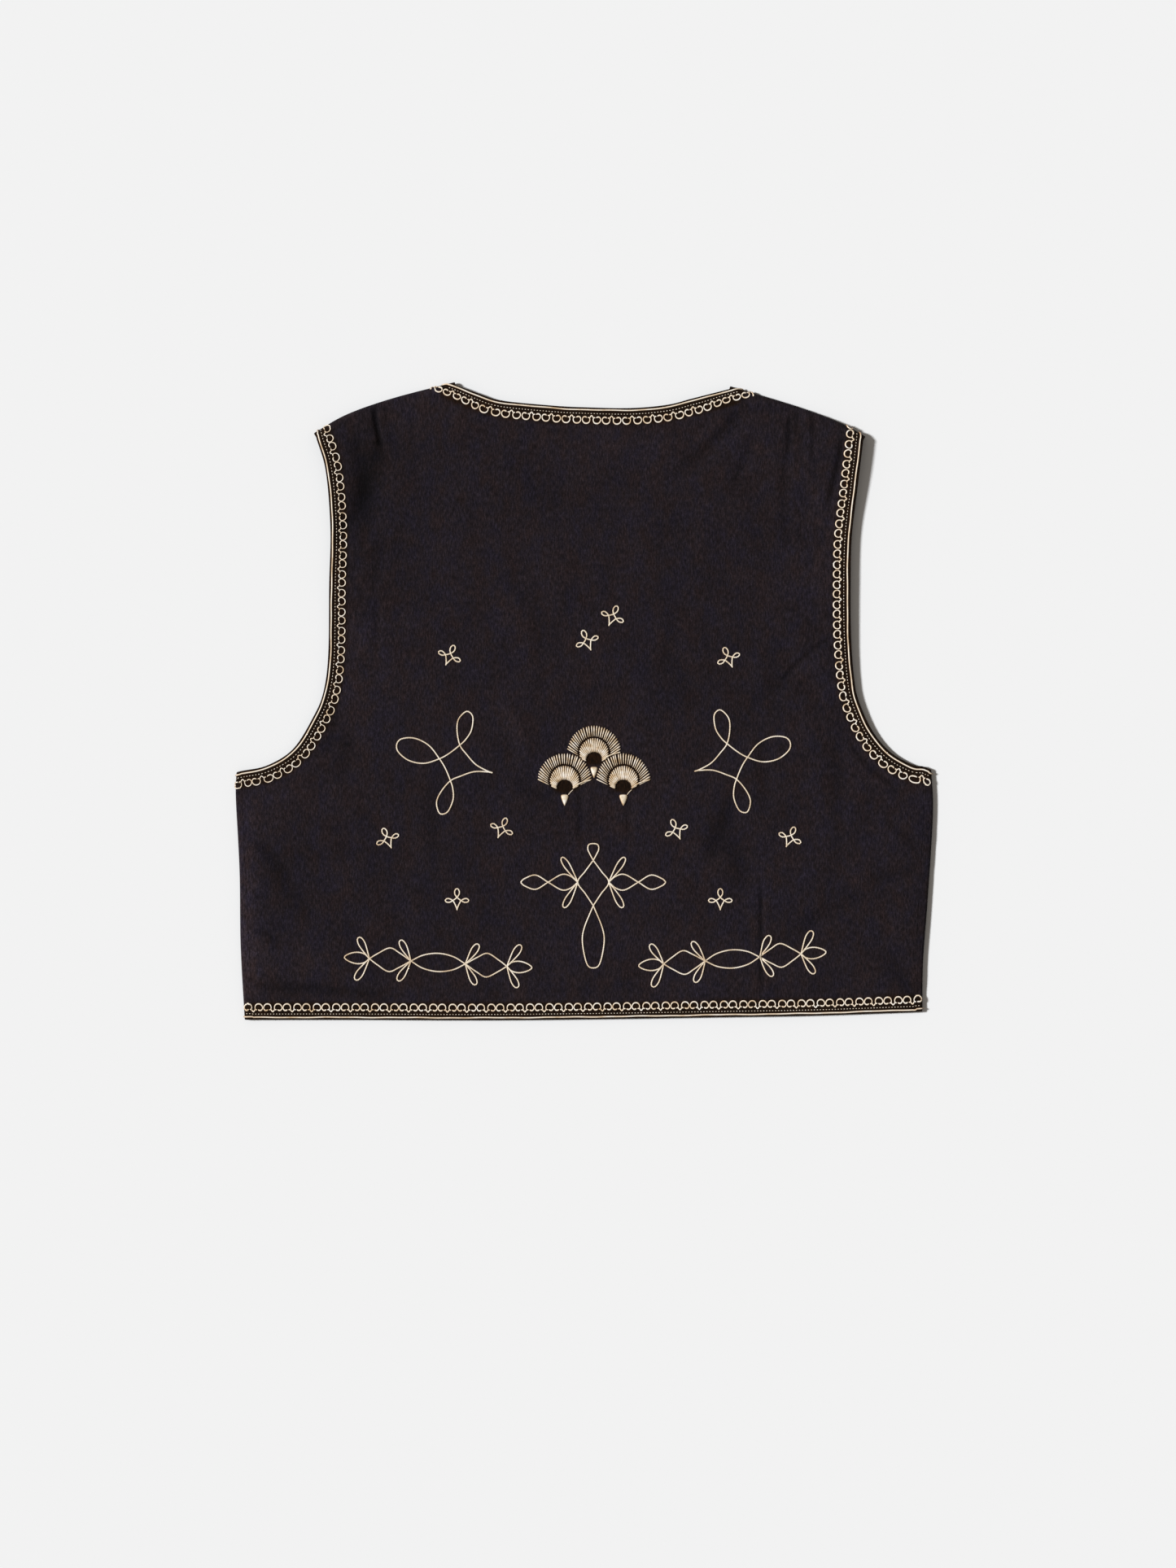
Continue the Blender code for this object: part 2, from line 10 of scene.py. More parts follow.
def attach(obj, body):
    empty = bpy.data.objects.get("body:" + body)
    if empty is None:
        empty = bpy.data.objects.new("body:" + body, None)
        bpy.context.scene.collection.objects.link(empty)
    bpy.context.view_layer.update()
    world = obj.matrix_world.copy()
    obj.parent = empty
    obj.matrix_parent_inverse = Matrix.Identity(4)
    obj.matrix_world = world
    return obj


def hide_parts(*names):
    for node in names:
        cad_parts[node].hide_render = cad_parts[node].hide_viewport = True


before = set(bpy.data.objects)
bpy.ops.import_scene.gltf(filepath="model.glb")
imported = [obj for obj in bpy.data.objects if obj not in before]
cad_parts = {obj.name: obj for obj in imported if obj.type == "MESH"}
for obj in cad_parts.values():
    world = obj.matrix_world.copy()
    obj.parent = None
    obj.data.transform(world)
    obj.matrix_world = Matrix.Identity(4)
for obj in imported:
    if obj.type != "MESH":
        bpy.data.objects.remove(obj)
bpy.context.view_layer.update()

MM = 0.001  # sizes and places below are in millimetres, and meshes in metres

# The vest as it lies: the same outline, folds and swells as its solids have
CLOTH = 1.1  # thickness of the cloth that shows
FLOOR_GAP = 0.45  # the fronts lie this far above the floor
REST_HEIGHT = 4.3  # top of the back away from its swells and creases
LEAST_HEIGHT = 2.9  # creases sink the back no lower than this
LEAST_HEIGHT_SOFTNESS = 0.25
SEAM_GAP = 0.1  # between the back's edge and the other piece's
SHOULDER_LAP = 12.0  # from a shoulder's edge to its seam below
MIDDLE_X = 6.0  # the fronts meet here
FRONT_OPENING = 2.0  # from the middle to a front's edge
FRONT_INSET = 1.0  # how far the fronts' hem lies inside the back's

ORIGIN_X, ORIGIN_Y = -0.62, 0.74  # the scene's zero, in the tables' places

HEM = [(-173, -234.5), (-71, -234.8), (25, -233.8), (97, -232.6), (169, -231.4)]
NECK = [(78.9, 222.9), (60.9, 218.4), (33.9, 216), (0, 216.6), (-23.1, 217.8), (-61.2, 221.5),
        (-79.5, 227)]
ARMHOLE_LEFT = [(-233.6, -47.1), (-214.5, -34.8), (-199.5, -10.8), (-192.3, 7.2), (-188.8, 35),
                (-188.1, 85.2), (-187.2, 127.2), (-190.5, 169.2)]
ARMHOLE_RIGHT = [(240.8, -46.5), (225, -37.4), (211.8, -21.8), (201.6, 0.6), (198.2, 18), (196, 48),
                 (195.6, 85.2), (196.5, 121.2), (200.7, 157.2)]
SHOULDER_LEFT = [(-199.5, 197.4), (-175.5, 211.2), (-141.9, 223.2), (-95.7, 235.2)]
SHOULDER_RIGHT = [(206.7, 195), (188.1, 205.2), (156.3, 217.2), (107.1, 232.2)]
SIDE_LEFT = [(-250.5, -234.6), (-253.5, -180), (-254.3, -125), (-257.1, -70), (-256.5, -52.2)]
SIDE_RIGHT = [(248.7, -228.4), (249.3, -190.8), (252.9, -142.8), (256.5, -82.8), (255.3, -50.4)]
SEAM_LEFT = [(-243.9, -234.5), (-248.6, -150), (-253.3, -51.4)]
SEAM_RIGHT = [(241.7, -228.9), (246.3, -142.8), (249.5, -82.8), (248.8, -47.8)]
FRONT_ARMHOLE = [(-232, -48.5), (-207, -35), (-187, 2), (-179, 90), (-181, 150)]
FRONT_NECK = [(-30, 110), (-68, 178)]
FRONT_NECK_FOOT = 48.0
FRONT_HEM_MIDDLE = -234.2  # how far down the back's hem is at the middle opening

Mound = namedtuple("Mound", "x y reach_x reach_y amount")
SWELLS = [Mound(*row) for row in [
    (-197, 190, 40, 45, 3.6), (204, 188, 42, 52, 3.9), (-188, 92, 28, 66, 1.7), (197, 80, 32, 76, 2.3),
    (-96, 234, 36, 22, 0.9), (107, 231, 36, 22, 1.1), (5, 214, 60, 26, -0.5), (-150, -236, 90, 30, -0.3),
    (140, -232, 80, 30, 0.3),
]]

# Main creases, each a trough along a bowed line, or a ridge where its depth is below 0. Each crease has
# painted shade along it by the amount in its last column, and painted light where that amount is below 0.
# The last row is only a line of painted light beside the left fold, where the cloth turns to the light.
Crease = namedtuple("Crease", "x0 y0 x1 y1 bow width depth shade")
CREASES = [Crease(*row) for row in [
    (-155, 222, -148, 182, -1, 2.3, 2.6, 0.5), (-148, 198, -161, 116, -3, 8, 1.9, 0.3),
    (-170, 202, -160, 150, 0, 5, 1.3, 0.26), (-158, 162, -176, 122, 0, 5, 1.2, 0.24),
    (-148, 122, -156, 82, 1, 5, 0.9, 0.16), (-153, 74, -154, 32, 1, 3, 0.7, 0.12),
    (-178, 160, -176, 96, 0, 3.5, 0.6, 0.12), (-127, 218, -127, 182, 1, 3, 0.6, 0.1),
    (151, 214, 149, 178, 1, 2.3, 1.7, 0.34), (150, 190, 151, 108, -3, 4, 0.9, 0.16),
    (157, 216, 156, 192, 0, 2, 0.8, 0.18), (167, 214, 168, 196, 1, 2, 1.5, 0.3),
    (166, 202, 161, 164, 1, 2.2, -0.7, 0), (191, 202, 177, 138, 2, 2.6, 2, 0.36),
    (126, 222, 62, 162, 3, 5.5, 1.5, 0.18), (112, 220, 76, 184, 2, 4, -0.9, -0.14),
    (128, 200, 108, 152, 0, 4, 1, 0.16), (188, 49, 142, 8, -5, 2, 1.4, 0.24),
    (183, 34, 148, 2, -4, 4, -0.9, -0.08), (-35, 92, -30, -6, 1, 6, 0.8, 0.12),
    (-56, -57, -18, -73, -1, 3.6, 1.2, 0.26), (-4, -60, -3, -104, 1, 3, 1.1, 0.18),
    (34, -66, 33, -104, -1, 3, 0.9, 0.14), (10, -58, 8, -84, 0, 4, 0.6, 0.06),
    (-258, -90, -212, -134, 3, 5, 1.7, 0.26), (-236, -116, -194, -168, 3, 8, 1.3, 0.18),
    (-250, -160, -220, -183, 1, 4, 1.4, 0.24), (-252, -209, -128, -219, 1.5, 3.4, 1.8, 0.4),
    (130, -124, 131, -222, 0, 1.8, 1.7, 0.36), (112, -68, 90, -124, 0, 6, 1.6, 0.26),
    (104, -96, 124, -140, 0, 7, 1.4, 0.2), (131, -20, 134, -90, 0, 5, 1, 0.2),
    (187, -20, 187, -138, 1, 6, 1.1, 0.16), (192, -25, 238, -69, -4, 2.4, 1.2, 0.28),
    (218, -84, 250, -110, 0, 3.4, 1.2, 0.2), (204, -133, 250, -124, 0, 4.4, 1.3, 0.24),
    (152, -174, 216, -138, 2, 6, 1.3, 0.18), (-182, 2, -192, -42, 2, 4, 0.5, 0.16),
    (-169, -18, -180, -66, 0, 5, 1, 0.16), (-62, 8, -40, -48, 2, 6, -1, -0.08),
    (224, -188, 248, -226, 0, 5, 1, 0.24), (-80, -194, -56, -222, 0, 5, 0.7, 0.06),
    (60, 40, 84, -20, 4, 9, 0.8, 0.1), (66, 66, 58, 20, 0, 5, 0.6, 0.1), (88, 70, 92, 34, 0, 4, 0.5, 0.08),
    (138, 50, 142, -20, 0, 6, 0.7, 0.12), (-20, 60, -16, 6, 0, 5, 0.5, 0.08),
    (-56, 96, -40, 66, 0, 5, 0.5, 0.08), (120, -8, 160, 22, 2, 5, 0.8, 0.14),
    (-230, -116, -110, -110, 1, 4, 0.6, 0.1), (-108, -44, -110, -128, 0, 6, 0.6, 0.09),
    (-130, 140, -140, 96, 0, 5, 0.6, 0.1), (-110, -10, -90, -70, -3, 10, 0.5, 0.05),
    (-252, -46, -248, -238, 1, 8, 0, -0.75),
]]
BANK = 0.35  # how high a crease's banks rise, as a share of its depth
BANK_REACH = 2.4  # and how wide they are, in widths of the crease

# Broad places of painted shade on the cloth, and of painted light where the amount is below 0
PAINTED_SHADING_PATCHES = [Mound(*row) for row in [
    (-160, 164, 15, 34, 0.24), (20, 188, 52, 13, -0.14), (-106, 212, 22, 16, -0.16),
    (-52, 148, 22, 18, 0.07), (100, -104, 16, 22, 0.1), (176, 100, 16, 36, -0.1),
    (-170, 50, 14, 20, -0.12), (-228, -66, 26, 14, -0.12), (-226, -190, 24, 18, -0.22),
    (20, -150, 60, 50, -0.06), (-140, 20, 30, 50, -0.08), (80, 8, 44, 40, 0.06), (-175, 8, 14, 30, -0.14),
]]

# Soft unevenness of the cloth: long low waves, by how fast they run along x and y, their phase and rise
WAVES = [(0.051, 0.023, 0.4, 0.1), (-0.032, 0.067, 1.9, 0.09), (0.101, -0.043, 3.1, 0.05),
         (0.013, 0.121, 5.2, 0.05), (0.143, 0.087, 0.9, 0.03)]

# How far inside each free edge its trims lie, and how thick its scrolls are as a share of the full thread
Trim = namedtuple("Trim", "piping stitch scroll thickness")
TRIMS = {"hem": Trim(1.8, 4.2, 5.6, 1.0), "neck": Trim(1.8, 4.5, 5.75, 1.0),
         "armhole_left": Trim(1.9, 4.6, 5.9, 0.78), "armhole_right": Trim(2.3, 5.0, 6.45, 1.0)}
PIPING_WIDTH = 1.15
PIPING_HEIGHT = 1.2
STITCH_PITCH = 2.2
STITCH_LENGTH = 1.05
STITCH_WIDTH = 0.62
SCROLL_PITCH = 14.3
CLOSING_LENGTH = 26.0  # over this length the trims draw together towards a neck point
NECK_CLOSING = 0.78
PAST_CORNER = 16.0  # how far the trims' lines are drawn past an edge's ends, round the folds
PIPING_REACH = 11.0  # how far the piping goes round the folds
STITCH_REACH = 6.0
LOWEST_TRIM = 1.3  # round the folds the trims stop at this height
LOWEST_SCROLL = 1.6

# Where the shell's rounded edge runs: distance inside the edge, and how far below the face
EDGE_ROUND = [(0.0, 0.42), (0.3, 0.12), (0.8, 0.0)]
INSETS = [inset for inset, _ in EDGE_ROUND]
SHELL_GRID = 3.3
FINE_CREASE = 4.5  # beside narrower creases the shell's grid is half as wide
FINE_REACH = 2.2  # so far to either side, in widths of the crease
SHELL_EDGE_STEP = 3.0
FRONT_STEP = 5.0  # along the fronts' flat edges
EDGE_HOLD = 0.25  # a row of points this far inside a seam keeps its edge crisp
BACK_MARGIN = 2.3  # how far inside the shell's outline the grid starts
FRONT_MARGIN = 3.0
FOLD_STEPS = 8
GRID_LEFT, GRID_FOOT = -265, -240
GRID_WIDTH, GRID_HEIGHT = 530, 480
THREAD_SHADE_REACH = 11.5  # how far inside the free edges the cloth has painted shade, darker and browner among the threads
THREAD_SHADE_FADE = 2.5

THREAD_WIDTH = 1.15  # couched thread of the motifs
THREAD_HEIGHT = 1.0
THREAD_TWIST = 2.6  # length of one full turn
THREAD_STEP = 0.4


def fade(t):
    t = np.clip(t, 0.0, 1.0)
    return t * t * (3 - 2 * t)


def across(c, x, y):
    """How far along a crease places are, as shares of its length, and how far beside it."""
    ax, ay = c.x1 - c.x0, c.y1 - c.y0
    length = math.hypot(ax, ay)
    ax, ay = ax / length, ay / length
    t = ((x - c.x0) * ax + (y - c.y0) * ay) / length
    return t, (y - c.y0) * ax - (x - c.x0) * ay - c.bow * 4 * t * (1 - t)


def mound(m, x, y):
    return m.amount * np.exp(-(((x - m.x) / m.reach_x) ** 2) - ((y - m.y) / m.reach_y) ** 2)


def height(x, y):
    """Top of the back, or of a front's lap, at places in millimetres."""
    x, y = np.asarray(x, float), np.asarray(y, float)
    z = np.full(x.shape, REST_HEIGHT)
    for swell in SWELLS:
        z += mound(swell, x, y)
    for c in CREASES:
        t, aside = across(c, x, y)
        profile = np.exp(-((aside / c.width) ** 2)) - BANK * np.exp(-((aside / c.width / BANK_REACH) ** 2))
        z -= c.depth * profile * fade(4 * t) * fade(4 * (1 - t))
    for along_x, along_y, phase, rise in WAVES:
        z += rise * np.sin(along_x * x + along_y * y + phase)
    soft = LEAST_HEIGHT_SOFTNESS
    return LEAST_HEIGHT + soft * np.logaddexp(0, (z - LEAST_HEIGHT) / soft)


def nap(x, y):
    """How much painted shade the cloth has at places, as a share; below 0 it is painted light."""
    shade = np.zeros(x.shape)
    for c in CREASES:
        t, aside = across(c, x, y)
        shade += c.shade * np.exp(-((aside / c.width) ** 2)) * fade(4 * t) * fade(4 * (1 - t))
    for patch in PAINTED_SHADING_PATCHES:
        shade += mound(patch, x, y)
    return np.clip(shade, -0.8, 0.7)


def sewn(x, y):
    """How much painted shade, darker and browner, cloth has among the threads: 1 among the trims and fans,
    0 away from them.
    """
    lines = [evenly(track.line, 2.0) for track in TRACKS.values()]
    near = [np.hypot(x[:, None] - line[:, 0], y[:, None] - line[:, 1]).min(axis=1) for line in lines]
    near += [np.hypot(x - fan.x, y - fan.y - FAN_SHADE_RISE) - FAN_SHADE_REACH for fan in FANS]
    return 1 - fade((np.min(near, axis=0) - THREAD_SHADE_REACH) / THREAD_SHADE_FADE)


def slope_up(x, y):
    """Unit vectors square to the top face."""
    d = 0.5
    gx = (height(x + d, y) - height(x - d, y)) / (2 * d)
    gy = (height(x, y + d) - height(x, y - d)) / (2 * d)
    n = np.stack([-gx, -gy, np.ones_like(gx)], axis=-1)
    return n / np.linalg.norm(n, axis=-1, keepdims=True)


def on_back(flat):
    """Places on the back's top face above flat points, and their outward directions."""
    x, y = flat[..., 0], flat[..., 1]
    return np.concatenate([flat, height(x, y)[..., None]], axis=-1), slope_up(x, y)


def unit(v):
    return v / np.maximum(np.linalg.norm(v, axis=-1, keepdims=True), 1e-12)


def smooth_line(table, per_span=16):
    """A fine line on a Catmull-Rom curve through the table's points, in two or three dimensions."""
    p = np.array([tuple(q) for q in table], float)
    p = np.vstack([2 * p[0] - p[1], p, 2 * p[-1] - p[-2]])
    t = (np.arange(per_span) / per_span)[:, None]
    spans = [
        0.5 * (2 * b + (c - a) * t + (2 * a - 5 * b + 4 * c - d) * t**2 + (3 * b - a - 3 * c + d) * t**3)
        for a, b, c, d in zip(p, p[1:], p[2:], p[3:])
    ]
    return np.vstack(spans + [p[-2:-1]])


def lengths(line):
    return np.concatenate([[0.0], np.cumsum(np.linalg.norm(np.diff(line, axis=0), axis=1))])


def between(wanted, walked, table):
    """Rows of a table at some distances, from the distances that its own rows have."""
    return np.stack([np.interp(wanted, walked, column) for column in table.T], axis=-1)


def at_lengths(line, wanted):
    """Points of a line at some distances from its start."""
    return between(wanted, lengths(line), line)


def evenly(line, step):
    total = lengths(line)[-1]
    return at_lengths(line, np.linspace(0, total, max(2, round(total / step) + 1)))


def left_of(line):
    """Unit vectors to the left of a flat line's direction."""
    ahead = unit(np.gradient(line, axis=0))
    return np.stack([-ahead[:, 1], ahead[:, 0]], axis=-1)


class Fold:
    """A fold from one layer to the other: a rim seen from above, and the seam that its cloth ends at."""

    def __init__(self, rim, seam, from_top):
        self.rim, self.seam, self.from_top = rim, seam, from_top

    def turned(self):
        """The same fold counted from its other end."""
        return Fold(self.rim[::-1], self.seam[::-1], self.from_top)

    def section(self, along):
        """Where the fold starts, its direction, radius and lap at distances from its first end."""
        rim = at_lengths(self.rim, along)
        seam = at_lengths(self.seam, np.asarray(along) * lengths(self.seam)[-1] / lengths(self.rim)[-1])
        out = unit(rim - seam)
        width = np.linalg.norm(rim - seam, axis=-1)
        probe = rim - out * 3.0 if self.from_top else seam
        tall = height(probe[..., 0], probe[..., 1])
        radius = (tall - FLOOR_GAP) / 2
        start = rim - out * radius[..., None]
        return start, out, radius, width, (tall + FLOOR_GAP) / 2

    def past(self, flat):
        """How far along the rim flat points are, and how far past the line where the fold starts."""
        stations = np.linspace(0, lengths(self.rim)[-1], 240)
        start, out, _, _, _ = self.section(stations)
        base = start
        if not self.from_top:
            base = at_lengths(self.seam, stations * lengths(self.seam)[-1] / stations[-1])
        offset = flat[:, None, :] - base[None, :, :]
        nearest = np.argmin(np.linalg.norm(offset, axis=2), axis=1)
        rows = np.arange(len(flat))
        return stations[nearest], np.sum(offset[rows, nearest] * out[nearest], axis=1)

    def point(self, along, beyond):
        """Outer place and its outward direction, beyond millimetres past the seam or past the layer's end.

        A side fold starts with the lap on top; a shoulder fold starts where the back leaves its layer.
        """
        along, beyond = np.asarray(along, float), np.asarray(beyond, float)
        start, out, radius, width, middle = self.section(along)
        lap = np.zeros_like(radius) if self.from_top else width - radius
        turn = np.clip((beyond - lap) / radius, 0, math.pi)
        past = np.maximum(beyond - lap - math.pi * radius, 0)
        before = np.minimum(beyond, lap) - lap
        sideways = before + radius * np.sin(turn) - past
        place = start + out * sideways[..., None]
        z = middle + radius * np.cos(turn)
        normal = np.stack([out[..., 0] * np.sin(turn), out[..., 1] * np.sin(turn), np.cos(turn)], axis=-1)
        return np.concatenate([place, z[..., None]], axis=-1), normal


def shoulder_fold(table, way):
    rim = smooth_line(table)
    return Fold(rim, rim + left_of(rim) * way * SHOULDER_LAP, True)


FOLDS = {
    "side_left": Fold(smooth_line(SIDE_LEFT), smooth_line(SEAM_LEFT), False),
    "side_right": Fold(smooth_line(SIDE_RIGHT), smooth_line(SEAM_RIGHT), False),
    "shoulder_left": shoulder_fold(SHOULDER_LEFT, -1),
    "shoulder_right": shoulder_fold(SHOULDER_RIGHT, 1),
}


def back_side(name):
    """The back's own edge along a side seam, from the hem to the armhole."""
    fold = FOLDS[name]
    seam = evenly(fold.seam, 1.0)
    rim = at_lengths(fold.rim, lengths(seam) * lengths(fold.rim)[-1] / lengths(seam)[-1])
    return seam + unit(seam - rim) * SEAM_GAP


def leaves_layer(name):
    """The line where the back starts to turn down over a shoulder, from the tip to the neck."""
    fold = FOLDS[name]
    along = np.linspace(0, lengths(fold.rim)[-1], 60)
    return fold.section(along)[0]


class Track:
    """A free edge of the back with a fold at each end, and the cloth beside it.

    along runs from the first corner to the last. Below 0 and past the length it goes on round the folds.
    The cloth is on the line's left where way is 1, and on its right where it is -1.
    """

    def __init__(self, table, way, first, last, closing=1.0):
        self.closing = closing
        self.line = line = evenly(smooth_line(table), 1.0)
        self.length = lengths(line)[-1]
        before = line[0] - unit(line[3] - line[0]) * PAST_CORNER
        after = line[-1] + unit(line[-1] - line[-4]) * PAST_CORNER
        self.drawn = evenly(np.vstack([before, line, after]), 1.0)
        self.normal, self.inward = left_of(self.drawn) * way, left_of(line) * way
        self.folds = (first, last)

    def at(self, along, inset):
        """Outer places and outward directions at distances along the edge and inside it."""
        along, inset = np.broadcast_arrays(np.asarray(along, float), np.asarray(inset, float))
        walked = lengths(self.drawn) - PAST_CORNER
        flat, inward = between(along, walked, self.drawn), between(along, walked, self.normal)
        to_corner = np.clip(np.minimum(along, self.length - along) / CLOSING_LENGTH, 0, 1)
        inset = inset * (self.closing + (1 - self.closing) * fade(to_corner))
        flat = flat + inward * inset[..., None]
        place, normal = on_back(flat)
        for fold, near in ((self.folds[0], along < 2 * PAST_CORNER),
                           (self.folds[1], along > self.length - 2 * PAST_CORNER)):
            if near.any():
                station, beyond = fold.past(flat[near])
                over = beyond > 0
                where = np.flatnonzero(near)[over]
                place[where], normal[where] = fold.point(station[over], beyond[over])
        return place, normal


SIDE_L, SIDE_R = back_side("side_left"), back_side("side_right")
TOP_L, TOP_R = leaves_layer("shoulder_left"), leaves_layer("shoulder_right")
TRACKS = {
    "hem": Track([SIDE_L[0]] + HEM + [SIDE_R[0]], 1, FOLDS["side_left"], FOLDS["side_right"]),
    "armhole_right": Track([SIDE_R[-1]] + ARMHOLE_RIGHT + [TOP_R[0]], 1,
                           FOLDS["side_right"].turned(), FOLDS["shoulder_right"]),
    "neck": Track([TOP_R[-1]] + NECK + [TOP_L[-1]], 1,
                  FOLDS["shoulder_right"].turned(), FOLDS["shoulder_left"].turned(), NECK_CLOSING),
    "armhole_left": Track([SIDE_L[-1]] + ARMHOLE_LEFT + [TOP_L[0]], -1,
                          FOLDS["side_left"].turned(), FOLDS["shoulder_left"]),
}


def add_object(name, data):
    made = bpy.data.objects.new(name, data)
    bpy.context.scene.collection.objects.link(made)
    return made


def to_mesh(name, points, faces, finish):
    """A mesh object in metres from places in millimetres, riding on the part's body."""
    mesh = bpy.data.meshes.new(name)
    mesh.from_pydata((np.asarray(points, float) - [ORIGIN_X, ORIGIN_Y, 0.0]) * MM, [], faces)
    mesh.shade_smooth()
    mesh.materials.append(finish)
    made = add_object(name, mesh)
    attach(made, "root")
    return made


END_TAPER = 0.6  # how thick most threads' ends are, as a share


class Bundle:
    """Many tubes of thread gathered into one mesh."""

    def __init__(self):
        self.points, self.faces, self.count = [], [], 0

    def tube(self, line, up, width, tall, sides=6, sunk=0.3, twist=None, lobes=0.0, taper=True):
        """A thread along a line in space that lies on a surface whose outward directions are up."""
        ahead = unit(np.gradient(line, axis=0))
        sideways = unit(np.cross(ahead, up))
        lift = np.cross(sideways, ahead)
        turn = np.linspace(0, 2 * math.pi, sides, endpoint=False) + 0.5
        radius = np.ones((len(line), sides))
        if twist:
            roll = lengths(line)[:, None] * 2 * math.pi / twist
            radius += lobes * np.cos(2 * (turn[None, :] - roll))
        if taper:
            radius[[0, -1]] *= END_TAPER
        wide = np.broadcast_to(width, len(line))[:, None]
        a = radius * np.cos(turn) * wide / 2
        b = radius * np.sin(turn) * tall / 2 + tall / 2 - sunk
        rings = line[:, None, :] + sideways[:, None, :] * a[..., None] + lift[:, None, :] * b[..., None]
        self.points.append(rings.reshape(-1, 3))
        ring = np.arange(len(line) - 1)[:, None] * sides
        i = np.arange(sides)
        j = (i + 1) % sides
        quads = np.stack([ring + i, ring + sides + i, ring + sides + j, ring + j], axis=-1)
        self.faces += (quads.reshape(-1, 4) + self.count).tolist()
        self.faces.append((i + self.count).tolist())
        self.faces.append((i[::-1] + self.count + (len(line) - 1) * sides).tolist())
        self.count += len(line) * sides

    def dome(self, ring, up, crown, tall):
        """A low padded shape over a closed line: its crown lies under tall."""
        n = len(ring)
        middle = ring.mean(axis=0)
        self.points += [ring, middle + (ring - middle) * 0.86 + up * tall * 0.62,
                        middle + (ring - middle) * 0.5 + up * tall * 0.95,
                        (middle + crown * tall)[None, :], (middle - crown * 0.1)[None, :]]
        i = np.arange(n) + self.count
        j = (i + 1 - self.count) % n + self.count
        for row in (0, n):
            self.faces += np.stack([i + row, j + row, j + row + n, i + row + n], axis=-1).tolist()
        top, base = self.count + 3 * n, self.count + 3 * n + 1
        self.faces += [[a + 2 * n, b + 2 * n, top] for a, b in zip(i.tolist(), j.tolist())]
        self.faces += [[b, a, base] for a, b in zip(i.tolist(), j.tolist())]
        self.count += 3 * n + 2

    def finish(self, name, finish):
        return to_mesh(name, np.vstack(self.points), self.faces, finish)


# Materials

WHITE = (1.0, 1.0, 1.0)
THREAD_SHADE_TINT = (0.74, 0.42, 0.1)  # painted shade: cloth is darker and browner between the threads of the trims and fans
SIDE_PAINTED_SHADE = (0.42, 0.23, 0.09)  # painted shade: threads are darker and browner down their sides, where they face away from up


class Finish:
    """A procedural material: its nodes, and the shader that they feed."""

    def __init__(self, name, color, roughness, sheen=0.0, specular=0.5):
        self.made = bpy.data.materials.new(name)
        self.made.use_nodes = True
        self.nodes, self.links = self.made.node_tree.nodes, self.made.node_tree.links
        self.shader = self.nodes["Principled BSDF"]
        self.fill(self.shader, {"Base Color": (*color, 1), "Roughness": roughness, "Sheen Weight": sheen,
                                "Sheen Roughness": 0.5, "Specular IOR Level": specular})

    def fill(self, node, inputs):
        """Sets a node's inputs, or links them where they are other nodes' outputs."""
        for key, value in inputs.items():
            if isinstance(value, bpy.types.NodeSocket):
                self.links.new(value, node.inputs[key])
            else:
                node.inputs[key].default_value = value

    def node(self, kind, output, inputs, **settings):
        """One output of a new node."""
        made = self.nodes.new("ShaderNode" + kind)
        for key, value in settings.items():
            setattr(made, key, value)
        self.fill(made, inputs)
        return made.outputs[output]

    def noise(self, stretch, scale, detail, roughness):
        """Noise over object coordinates, in metres, multiplied by stretch."""
        place = self.node("TexCoord", "Object", {})
        place = self.node("Mapping", "Vector", {"Vector": place, "Scale": stretch})
        return self.node("TexNoise", "Fac", {"Vector": place, "Scale": scale, "Detail": detail,
                                             "Roughness": roughness})

    def ramp(self, value, *stops):
        made = self.nodes.new("ShaderNodeValToRGB")
        elements = made.color_ramp.elements
        while len(elements) < len(stops):
            elements.new(0.5)
        for element, (place, color) in zip(elements, stops):
            element.position = place
            element.color = (*color, 1)
        self.links.new(value, made.inputs["Fac"])
        return made.outputs["Color"]

    def times(self, a, b):
        inputs = {"Factor": 1.0, "A": a, "B": b}
        return self.node("Mix", "Result", inputs, data_type="RGBA", blend_type="MULTIPLY")

    def plus(self, a, b, weight):
        return self.node("Math", "Value", {0: b, 1: weight, 2: a}, operation="MULTIPLY_ADD")

    def attribute(self, name):
        return self.node("Attribute", "Fac", {}, attribute_name=name)

    def done(self, color, relief, depth, strength):
        normal = self.node("Bump", "Normal", {"Distance": depth, "Strength": strength, "Height": relief})
        self.fill(self.shader, {"Base Color": color, "Normal": normal})
        return self.made


